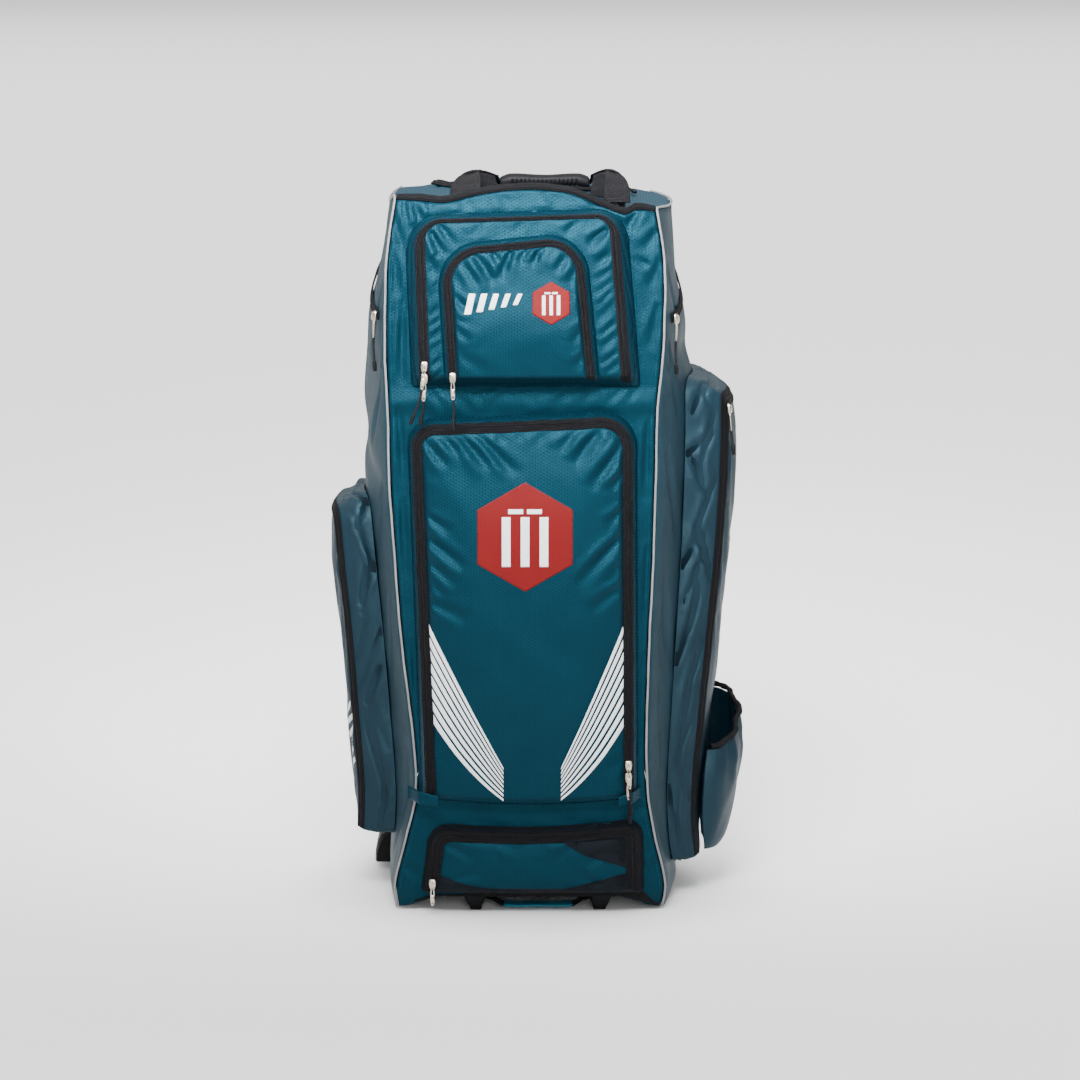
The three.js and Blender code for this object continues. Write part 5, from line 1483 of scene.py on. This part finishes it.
def add_pouch_rim():
    """Gathered elastic round the pouch's mouth."""
    angle = np.linspace(-90, 90, 160) * 0.94
    over_edge = np.array([0.3 * POUCH_RIM_RADIUS, 0, POUCH_RIM_RADIUS + FOLD])
    route = pouch_point(angle, np.ones(160), POUCH_WALL / 2) + over_edge
    rim = Form()
    rim.tube(route, POUCH_RIM_RADIUS * (0.92 + 0.1 * np.sin(np.radians(angle * 24))), 12)
    rim.make("pouch_rim_elastic", "bag", "black_cloth", [BINDING_TAPE], ["pouch_rim"])


add_pouch()
add_pouch_rim()


def add_side_zip(name, side, front_share, back_share):
    """Zip of a bat pocket, back and up across an upper side."""
    t = np.linspace(0.05, 0.85, 150)
    middle_z = BODY_HEIGHT * mix(front_share, back_share, ease(t * 1.1))
    y = mix(front_edge_y(middle_z) + CLEAR, back_edge_y(middle_z), t)

    def band(share, lift):
        z = middle_z + SIDE_ZIP_WIDTH * (share - 0.5)
        return spot(folded_side_x(side, y, z) + side * (1.3 * SIDE_GAP + lift), y, z)
    add_zip(name, band, 150, 0.2)


def add_top_zip():
    """Raised zip in an arc over the top panel."""
    arc = np.linspace(-1, 1, 240)
    centre = top_place(0.72 * np.sin(np.pi / 2 * arc), mix(0.42, 0.9, np.abs(arc) ** 2.4), 0)
    along = np.gradient(centre, axis=0)
    along[:, 2] = 0
    along /= np.linalg.norm(along, axis=1)[:, None]
    across = np.stack([-along[:, 1], along[:, 0], np.zeros(240)], axis=1)

    def band(share, lift):
        p = centre + across * ((np.broadcast_to(share, 240) - 0.5) * TOP_ZIP_WIDTH)[:, None]
        return spot(p[:, 0], p[:, 1], top_surface(p[:, 0], p[:, 1]) + 2 * FOLD + lift)
    add_zip("top_zip", band, 240, 0.3, height=1.7)


add_side_zip("side_zip_left", -1, 0.8435, 0.9043)
add_side_zip("side_zip_right", 1, 0.8391, 0.8978)
add_top_zip()

GRIP = table(
    "at size lift", (0.0, 0.82, -3), (0.12, 1.0, 0), (0.5, 0.92, -1), (0.88, 1.0, 0), (1.0, 0.82, -3))
RIBS = 17


def add_grip():
    """Moulded top grip, ribbed on its front and underside."""
    share = np.linspace(0, 1, 260)
    angles = ring_angles(40)
    zone = ease((share - 0.1) / 0.03) * ease((0.9 - share) / 0.03)
    wave = (0.5 - 0.5 * np.cos(2 * np.pi * (share - 0.1) / 0.8 * RIBS)) ** 0.5
    facing = ease((0.35 - np.sin(angles)) / 0.5)
    groove = 1.5 * (1 - wave[:, None]) * zone[:, None] * facing[None, :]
    size = GRIP_RADIUS * smooth(GRIP, "size", share)[:, None] - groove
    end_round = np.minimum(ease(share / 0.02), ease((1 - share) / 0.02))[:, None] * 0.25 + 0.75
    lift = smooth(GRIP, "lift", share)[:, None]
    grip = Form()
    grip.loft(spot(
        (GRIP_CENTRE[0] + GRIP_LENGTH * (share - 0.5))[:, None] + 0 * size,
        GRIP_CENTRE[1] + 1.35 * size * end_round * squared(np.cos(angles), 0.85),
        GRIP_CENTRE[2] + lift + 0.92 * size * end_round * squared(np.sin(angles), 0.85)))
    grip.make("grip_moulding", "bag", "grip_rubber", [RUBBER], ["grip"])


add_grip()

# Folded webbing tabs at the grip's ends: how far each edge of a tab runs along, behind and up at each step
WEBBING_ROWS = table(
    "at front_along front_behind front_up rear_along rear_behind rear_up",
    (0, 62, 9, 0, 19, 9, 0), (1, 59, 18, 22, 22, 18, 27), (2, 46, 44, 34, 24, 78, 37),
    (3, 22, 62, 37, 10, 108, 28), (4, 0, 76, 30, 0, 108, 16))


def add_grip_tab(name, side, reach, lift):
    """Webbing folded over one end of the grip, and its fold underneath."""
    rim_y = float(front_edge_y(BODY_HEIGHT)) - FRONT_CROWN
    grip_end = GRIP_CENTRE[0] + side * (GRIP_LENGTH / 2 + 1.5 * FOLD)
    steps = np.linspace(0, 4, 60)

    def line(edge):
        x = grip_end + side * smooth(WEBBING_ROWS, f"{edge}_along", steps) * reach
        y = rim_y + smooth(WEBBING_ROWS, f"{edge}_behind", steps)
        up = BODY_HEIGHT + smooth(WEBBING_ROWS, f"{edge}_up", steps) + lift
        foot = top_surface(x, y) + SEAM
        return spot(x, y, mix(np.maximum(up, foot), up, ease(steps)))
    front, rear = line("front"), line("rear")
    shares = np.linspace(0, 1, 24)
    middle = mix(front[:, None, :], rear[:, None, :], shares[None, :, None])
    sag = 2.2 * np.sin(np.pi * shares)[None, :] * np.sin(np.pi * steps / 4)[:, None]
    normal = normals_of(middle)
    normal *= np.where(normal[30, 12, 2] > 0, 1, -1)
    middle = middle - normal * sag[..., None] * 0.5
    edge_thin = (1 - 0.55 * (np.abs(shares - 0.5) * 2) ** 8)[None, :, None]
    half = WEBBING_THICKNESS / 2 * edge_thin
    width = np.linalg.norm(front[30] - rear[30])
    tab = Form()
    along = lengths(middle[:, 12])
    tab.shell(middle + normal * half, middle - normal * half, along=along, across=shares * width)
    tab.make(f"{name}_webbing", "bag", "black_cloth", [WEBBING], [name])
    hem = front[15:57] - np.array([0, 0, WEBBING_THICKNESS / 2 + 0.3])
    down = np.linspace(0, 1, 12)
    x = hem[:, None, 0] - side * 5 * down
    y = hem[:, None, 1] - 7 * np.sin(np.pi * 0.5 * down)
    z = mix(hem[:, None, 2], top_surface(x, y) + 1.0, down)
    under = Form()
    under.shell(spot(x, y, z), spot(x, y + 1.8, z))
    under.make(f"{name}_under_fold", "bag", "black_cloth", [WEBBING])


add_grip_tab("grip_tab_left", -1, 1, 0)
add_grip_tab("grip_tab_right", 1, 0.8, 1)

# Moulded front feet: name, from and to across the bag, and how far each side slopes in towards the floor
FEET = [("foot_left", -86, -58, 8, 5), ("foot_right", 78, 106, 4, 7)]
FOOT_FRONT = float(front_edge_y(0.0)) - 6
# Height, share of the slope, and inset of each section
FOOT_SECTIONS = [
    (0, 1, 1.4), (0.8, 1, 0.3), (2.4, 0.95, 0), (2.9, 0.93, 0.7), (3.6, 0.9, 0.7), (4.2, 0.85, 0),
    (9, 0.5, 0), (14, 0.2, 0), (18.4, 0.02, 0), (FOOT_HEIGHT, 0, 0.9),
]


def add_foot(name, from_x, to_x, slope_from, slope_to):
    angles = ring_angles(48)
    rings = []
    for z, taper, inset in FOOT_SECTIONS:
        low, high = from_x + slope_from * taper + inset, to_x - slope_to * taper - inset
        front, back = FOOT_FRONT + 3 * taper + inset, FOOT_FRONT + FOOT_LENGTH - 3 * taper - inset
        x = (low + high) / 2 + (high - low) / 2 * squared(np.cos(angles), 0.35)
        y = (front + back) / 2 + (back - front) / 2 * squared(np.sin(angles), 0.35)
        rings.append(spot(x, y, z))
    foot = Form()
    foot.loft(rings)
    foot.make(f"{name}_moulding", "bag", "grip_rubber", [RUBBER], [name])


for foot_row in FEET:
    add_foot(*foot_row)

LIFT = table(
    "at drop", (0.0, 0.1), (0.07, 0.35), (0.16, 0.96), (0.5, 1.0), (0.84, 0.96), (0.93, 0.35), (1.0, 0.1))
WRAP_START, WRAP_END = 0.17, 0.83


def add_lift_handle():
    """Lift handle between the feet: cloth wrapped round a strap, with black webbing ends; the wrap's teal is
    painted light, much lighter than the front's cloth.
    """
    sides = 24
    share = np.linspace(0, 1, 150)
    x = mix(FEET[0][2] + FOLD, FEET[1][1] - FOLD, share)
    drop = np.maximum(smooth(LIFT, "drop", share), 0.02)
    z = FOOT_HEIGHT - SEAM - LIFT_THICKNESS / 2 - LIFT_DROP * drop
    angles = ring_angles(sides)
    wrapped = ease((share - WRAP_START) / 0.02) * ease((WRAP_END - share) / 0.02)
    wave = 0.18 * np.sin(x / 2.3)[:, None] * np.cos(2 * angles)[None, :] * wrapped[:, None]
    fuller = (0.9 + 0.1 * wrapped)[:, None]
    handle = Form()
    handle.loft(spot(
        x[:, None] + 0 * angles[None, :],
        FOOT_FRONT + FOOT_LENGTH / 2 + LIFT_WIDTH / 2 * fuller * squared(np.cos(angles), 0.6),
        z[:, None] + (LIFT_THICKNESS / 2 * fuller + wave) * squared(np.sin(angles), 0.8)))
    last = len(share) - 2
    ring_of_face = [k // sides for k in range((last + 1) * sides)] + [0, last]
    handle.parts = [0 if WRAP_START < share[ring] < WRAP_END else 1 for ring in ring_of_face]
    # The wrap's lighter teal is painted light
    handle.make("lift_handle_wrap", "bag", "teal_cloth", [LIT_WRAP_CLOTH, WEBBING], ["lift_handle"])


add_lift_handle()


# Rear wheels and their housings
def lathe(profile, centre, segments):
    """Rings of a closed profile of (x, radius) turned about the wheel's axle."""
    angles = 2 * np.pi * np.arange(segments) / segments
    return np.array([[
        (centre[0] + x, centre[1] + r * math.cos(angle), centre[2] + r * math.sin(angle)) for x, r in profile]
        for angle in angles])


WHEEL_PROFILE = [
    (-10.5, WHEEL_BORE + 0.2), (-10.5, 9.0), (-9.2, 9.8), (-8.6, 11.0), (-8.6, 17.6), (-9.4, 18.6),
    (-10.3, 19.4), (-10.5, 22.4), (-9.4, 24.4), (-7.4, 25.6), (-5.2, 26.0), (-4.4, 25.0), (-3.4, 25.0),
    (-2.6, 26.0), (2.6, 26.0), (3.4, 25.0), (4.4, 25.0), (5.2, 26.0), (7.4, 25.6), (9.4, 24.4),
    (10.5, 22.4), (10.3, 19.4), (9.4, 18.6), (8.6, 17.6), (8.6, 11.0), (9.2, 9.8), (10.5, 9.0),
    (10.5, WHEEL_BORE + 0.2),
]
HUB_RADIUS = 19


def add_wheel(end, side):
    """Rubber tyre with two grooves on a plastic hub."""
    centre = (BAG_MIDDLE + side * WHEEL_OUT, WHEEL_BACK, WHEEL_RADIUS)
    wheel = Form()
    parts = [1 if r < HUB_RADIUS else 0 for _, r in WHEEL_PROFILE]
    wheel.grid(lathe(WHEEL_PROFILE, centre, 72), around=True, looped=True, part=parts)
    wheel.make(f"wheel_tyre_{end}", f"{end}_wheel", "wheel_rubber", [RUBBER, HUB_PLASTIC], [f"wheel_{end}"])


def add_housing(end):
    """The housing with its edges rounded."""
    mesh = bpy.data.objects[f"wheel_housing_{end}"].data.copy()
    mesh.materials.clear()
    mesh.materials.append(PLASTIC)
    housing = bpy.data.objects.new(f"wheel_housing_moulding_{end}", mesh)
    bpy.context.scene.collection.objects.link(housing)
    bevel = housing.modifiers.new("rounded_edges", "BEVEL")
    bevel.width = 1.4 * MM
    bevel.segments = 3
    bevel.limit_method = "ANGLE"
    bevel.angle_limit = math.radians(32)
    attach(housing, "bag")
    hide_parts(f"wheel_housing_{end}")


for wheel_end, wheel_side in (("left", -1), ("right", 1)):
    add_wheel(wheel_end, wheel_side)
    add_housing(wheel_end)


# Prints: thin layers that follow the finished cloth under them
def stripe(form, pocket, start, end, start_height, end_height, bow, lift=0.45):
    """A bowed stripe on a pocket's face, cut off upright; start and end are its upper corners."""
    share = np.linspace(0, 1, 40)
    x = mix(start[0], end[0], share)
    upper_edge = mix(start[1], end[1], share) - 4 * bow * share * (1 - share)
    height = mix(start_height, end_height, share)
    levels = [upper_edge - height * k for k in (0, 0.25, 0.5, 0.75, 1)]
    outer = np.array([pocket.on(x, level, lift) for level in levels])
    inner = np.array([pocket.on(x, level, lift - 0.3) for level in levels])
    form.shell(outer, inner)


def patch(form, pocket, corners, lift, part=0, rings=14):
    """Flat print inside a ring of corners, closed round a middle point."""
    corners = np.array(corners, float)
    centre = corners.mean(axis=0)
    closed = np.concatenate([corners, corners[:1]])
    edge = resampled(closed, max(int(lengths(closed)[-1] / 2.2), 24) + 1)[:-1]
    layers = []
    for height in (lift, lift - 0.2):
        for share in np.linspace(0.04, 1, rings) if height == lift else [1.0, 0.04]:
            p = mix(centre, edge, share)
            layers.append(pocket.on(p[:, 0], p[:, 1], height))
    form.loft(np.array(layers), part=part)


# Upper corners of the highest and the lowest stripe, at their outer and their inner ends
STRIPE_COUNT = 8
STRIPES = [
    dict(outer_high=(-130, 386), outer_low=(-124, 266), inner_high=(-34, 198), inner_low=(-34, 156)),
    dict(outer_high=(121, 386), outer_low=(122, 264), inner_high=(40, 198), inner_low=(40, 157)),
]


def add_stripes():
    """Bowed stripes on both sides of the main pocket."""
    prints = Form()
    for row in STRIPES:
        corners = {key: np.array(value, float) for key, value in row.items()}
        for share in np.arange(STRIPE_COUNT) / (STRIPE_COUNT - 1):
            start = mix(corners["outer_high"], corners["outer_low"], share)
            end = mix(corners["inner_high"], corners["inner_low"], share)
            stripe(prints, main, start, end, 11.8, 3.1, mix(3, 9, share))
    prints.make("speed_stripes", "bag", "teal_cloth", [WHITE_PRINT])


WINGS = [
    [(40, 101), (80, 104), (122, 108), (126, 100), (127, 64), (110, 70), (77, 80), (58, 90)],
    [(127, 58), (127, 36), (40, 36), (64, 42), (95, 50), (112, 55)],
    [(-121, 57), (-84, 43), (-53, 37), (-40, 36), (-121, 36)],
]


def add_wings():
    """Black cloth in the corners of the shoe pocket's face."""
    wings = Form()
    for corners in WINGS:
        patch(wings, bottom, corners, 0.9, rings=24)
    wings.make("bottom_pocket_wings", "bag", "black_cloth", [WING_CLOTH])


def add_foot_tape():
    """Black tape along the front's foot, widest under the right of the shoe pocket."""
    x = np.linspace(-150, 168, 200)
    foot_z = underside_z(share_across(x, FOOT_HEIGHT), 0) + 0.4
    height = 3.0 + 7.0 * ease((x + 90) / 20) + 4.0 * ease((x - 100) / 20) - 10.0 * ease((x - 146) / 18)
    rows = [foot_z + height * share for share in np.linspace(0, 1, 7)]
    tape = Form()
    tape.shell(*[np.array([on_front(x, z, front_bulge(x, z) + lift) for z in rows]) for lift in (0.9, 0.3)])
    tape.make("front_foot_tape", "bag", "black_cloth", [BINDING_TAPE])


add_stripes()
add_wings()
add_foot_tape()


def hexagon(centre, radius):
    turns = [math.radians(60 * k) for k in range(6)]
    return [(centre[0] + radius * math.sin(turn), centre[1] + radius * math.cos(turn)) for turn in turns]


def bar(x, low, high, width, slant=0.0):
    left, right = x - width / 2, x + width / 2
    return [(left, low), (right, low), (right + slant, high), (left + slant, high)]


def add_emblem(name, pocket, centre, radius):
    """Hexagon with three plain upright bars and two short caps."""
    mark = Form()
    patch(mark, pocket, hexagon(centre, radius), 0.35, rings=int(radius / 2))
    unit = radius / 70
    for k in (-1, 0, 1):
        upright = bar(centre[0] + k * 24 * unit, centre[1] - 38 * unit, centre[1] + 26 * unit, 11 * unit)
        patch(mark, pocket, upright, 0.6, part=1, rings=16)
    for k in (-0.5, 0.5):
        low = centre[1] + 30 * unit
        cap = bar(centre[0] + k * 24 * unit, low, low + 6 * unit, 19 * unit)
        patch(mark, pocket, cap, 0.6, part=1, rings=8)
    mark.make(name, "bag", "teal_cloth", [RED_PRINT, WHITE_PRINT])


def add_slanted_bars():
    """Five slanted bars on the small pocket, each shorter and narrower than the one before."""
    bars = Form()
    for k in range(5):
        patch(bars, small, bar(-78 + 15 * k, 786 + 3 * k, 812, 8.5 - 0.6 * k, 6), 0.3, rings=5)
    bars.make("slanted_bars", "bag", "teal_cloth", [WHITE_PRINT])


def add_flank_stripes():
    """Six short slanted stripes down the left side pocket."""
    flank = Form()
    for k in range(6):
        low = 252 - 15 * k
        corners = [(-66, low), (-66, low + 7), (-46, low - 10), (-46, low - 17)]
        patch(flank, left_pocket, corners, 0.35, rings=6)
    flank.make("flank_stripes", "bag", "side_cloth", [WHITE_PRINT])


add_emblem("main_emblem", main, MAIN_EMBLEM, 70)
add_emblem("small_emblem", small, SMALL_EMBLEM, 27)
add_slanted_bars()
add_flank_stripes()


# Stitches
def stitched(form, route, pitch=4.2, length=2.9, radius=0.34):
    """A row of short raised stitches along a route that lies on the cloth."""
    travelled = lengths(route)
    for start in np.arange(1.0, travelled[-1] - length, pitch):
        at = start + length * np.linspace(0, 1, 5)
        line = np.stack([np.interp(at, travelled, route[:, k]) for k in range(3)], axis=1)
        form.tube(line, radius * np.array([0.45, 0.9, 1.0, 0.9, 0.45]), 5)


def add_front_stitches():
    """Stitches on both sides of the waist seam and up the front's corners."""
    seams = Form()
    for aside in (-3.2, 3.2):
        x = np.linspace(-168, 158, 300)
        z = WAIST_SEAM + aside
        stitched(seams, on_front(x, z, front_bulge(x, z) + 0.2))
    for side in (-1, 1):
        z = np.linspace(30, 905, 700)
        x = edge_x(side, z) - side * (CLEAR + 4.5)
        stitched(seams, on_front(x, z, front_bulge(x, z) + 0.15))
    seams.make("front_stitches", "bag", "teal_cloth", [THREAD_TEAL])


def add_zip_stitches():
    seams = Form()
    for pocket in (upper, small, main, bottom):
        for share in (0.11, 0.89):
            stitched(seams, pocket.band(share, 1.0), pitch=5.0)
    seams.make("zip_stitches", "bag", "zip_tape", [THREAD_BLACK])


add_front_stitches()
add_zip_stitches()


def pale_paper():
    """Matt paper that gives off light of its own, fading to black under the bag as a painted shadow."""
    paper = Finish("pale_paper")
    across, along, _ = paper.place()
    near = paper.math("SQRT", (across / 245.0) * (across / 245.0) + (along / 215.0) * (along / 215.0))
    # Painted shadow: the paper's emission is dark under and near the bag and full further out
    glow_with_painted_shadow = paper.blend(paper.step(near, 0.72, 1.5), (0.0, 0.0, 0.0), (1.0, 1.0, 1.0))
    shade = paper.blend(paper.noise(900, 2.0), (0.90, 0.90, 0.90), (0.88, 0.88, 0.88))
    return paper.done(shade, 0.95, Emission_Color=glow_with_painted_shadow, Emission_Strength=0.6, Specular_IOR_Level=0.1)


# Pale floor, soft studio light
FLOOR_REACH = 60.0
floor_mesh = bpy.data.meshes.new("studio_floor")
floor_corners = [(x * FLOOR_REACH, y * FLOOR_REACH, 0) for x, y in ((-1, -1), (1, -1), (1, 1), (-1, 1))]
floor_mesh.from_pydata(floor_corners, [], [(0, 1, 2, 3)])
floor_mesh.materials.append(pale_paper())
floor = bpy.data.objects.new("studio_floor", floor_mesh)
bpy.context.scene.collection.objects.link(floor)
world = bpy.data.worlds.new("studio")
world.use_nodes = True
world.node_tree.nodes["Background"].inputs["Color"].default_value = (1, 1, 1, 1)
world.node_tree.nodes["Background"].inputs["Strength"].default_value = 0.18
bpy.context.scene.world = world

# Where each lamp hangs and points in metres, its size in metres, power in watts and spread in degrees
LAMPS = [
    dict(name="key_softbox", where=(-0.2, -1.2, 1.92), target=(0, 0.3, 1.08), size=1.25, power=46, spread=63),
    dict(name="front_softbox", where=(0.3, -3.6, 1.1), target=(0, 0, 0.6), size=1.6, power=9, spread=60),
    dict(name="side_softbox", where=(2.4, -2.2, 1.9), target=(0, 0, 0.6), size=1.2, power=16, spread=180),
    dict(name="rim_softbox", where=(-2.6, -1.6, 1.9), target=(0, 0, 0.6), size=1.2, power=6, spread=180),
    dict(name="overhead_softbox", where=(0, 14, 11), target=(0, 14, 0), size=40, power=8200, spread=180),
]


def add_lamp(row):
    lamp_data = bpy.data.lights.new(row["name"], "AREA")
    lamp_data.size = row["size"]
    lamp_data.energy = row["power"]
    lamp_data.spread = math.radians(row["spread"])
    lamp = bpy.data.objects.new(row["name"], lamp_data)
    lamp.location = row["where"]
    aim = np.array(row["target"], float) - np.array(row["where"], float)
    lamp.rotation_euler = (math.atan2(math.hypot(aim[0], aim[1]), -aim[2]), 0, math.atan2(-aim[0], aim[1]))
    bpy.context.scene.collection.objects.link(lamp)


for lamp_row in LAMPS:
    add_lamp(lamp_row)
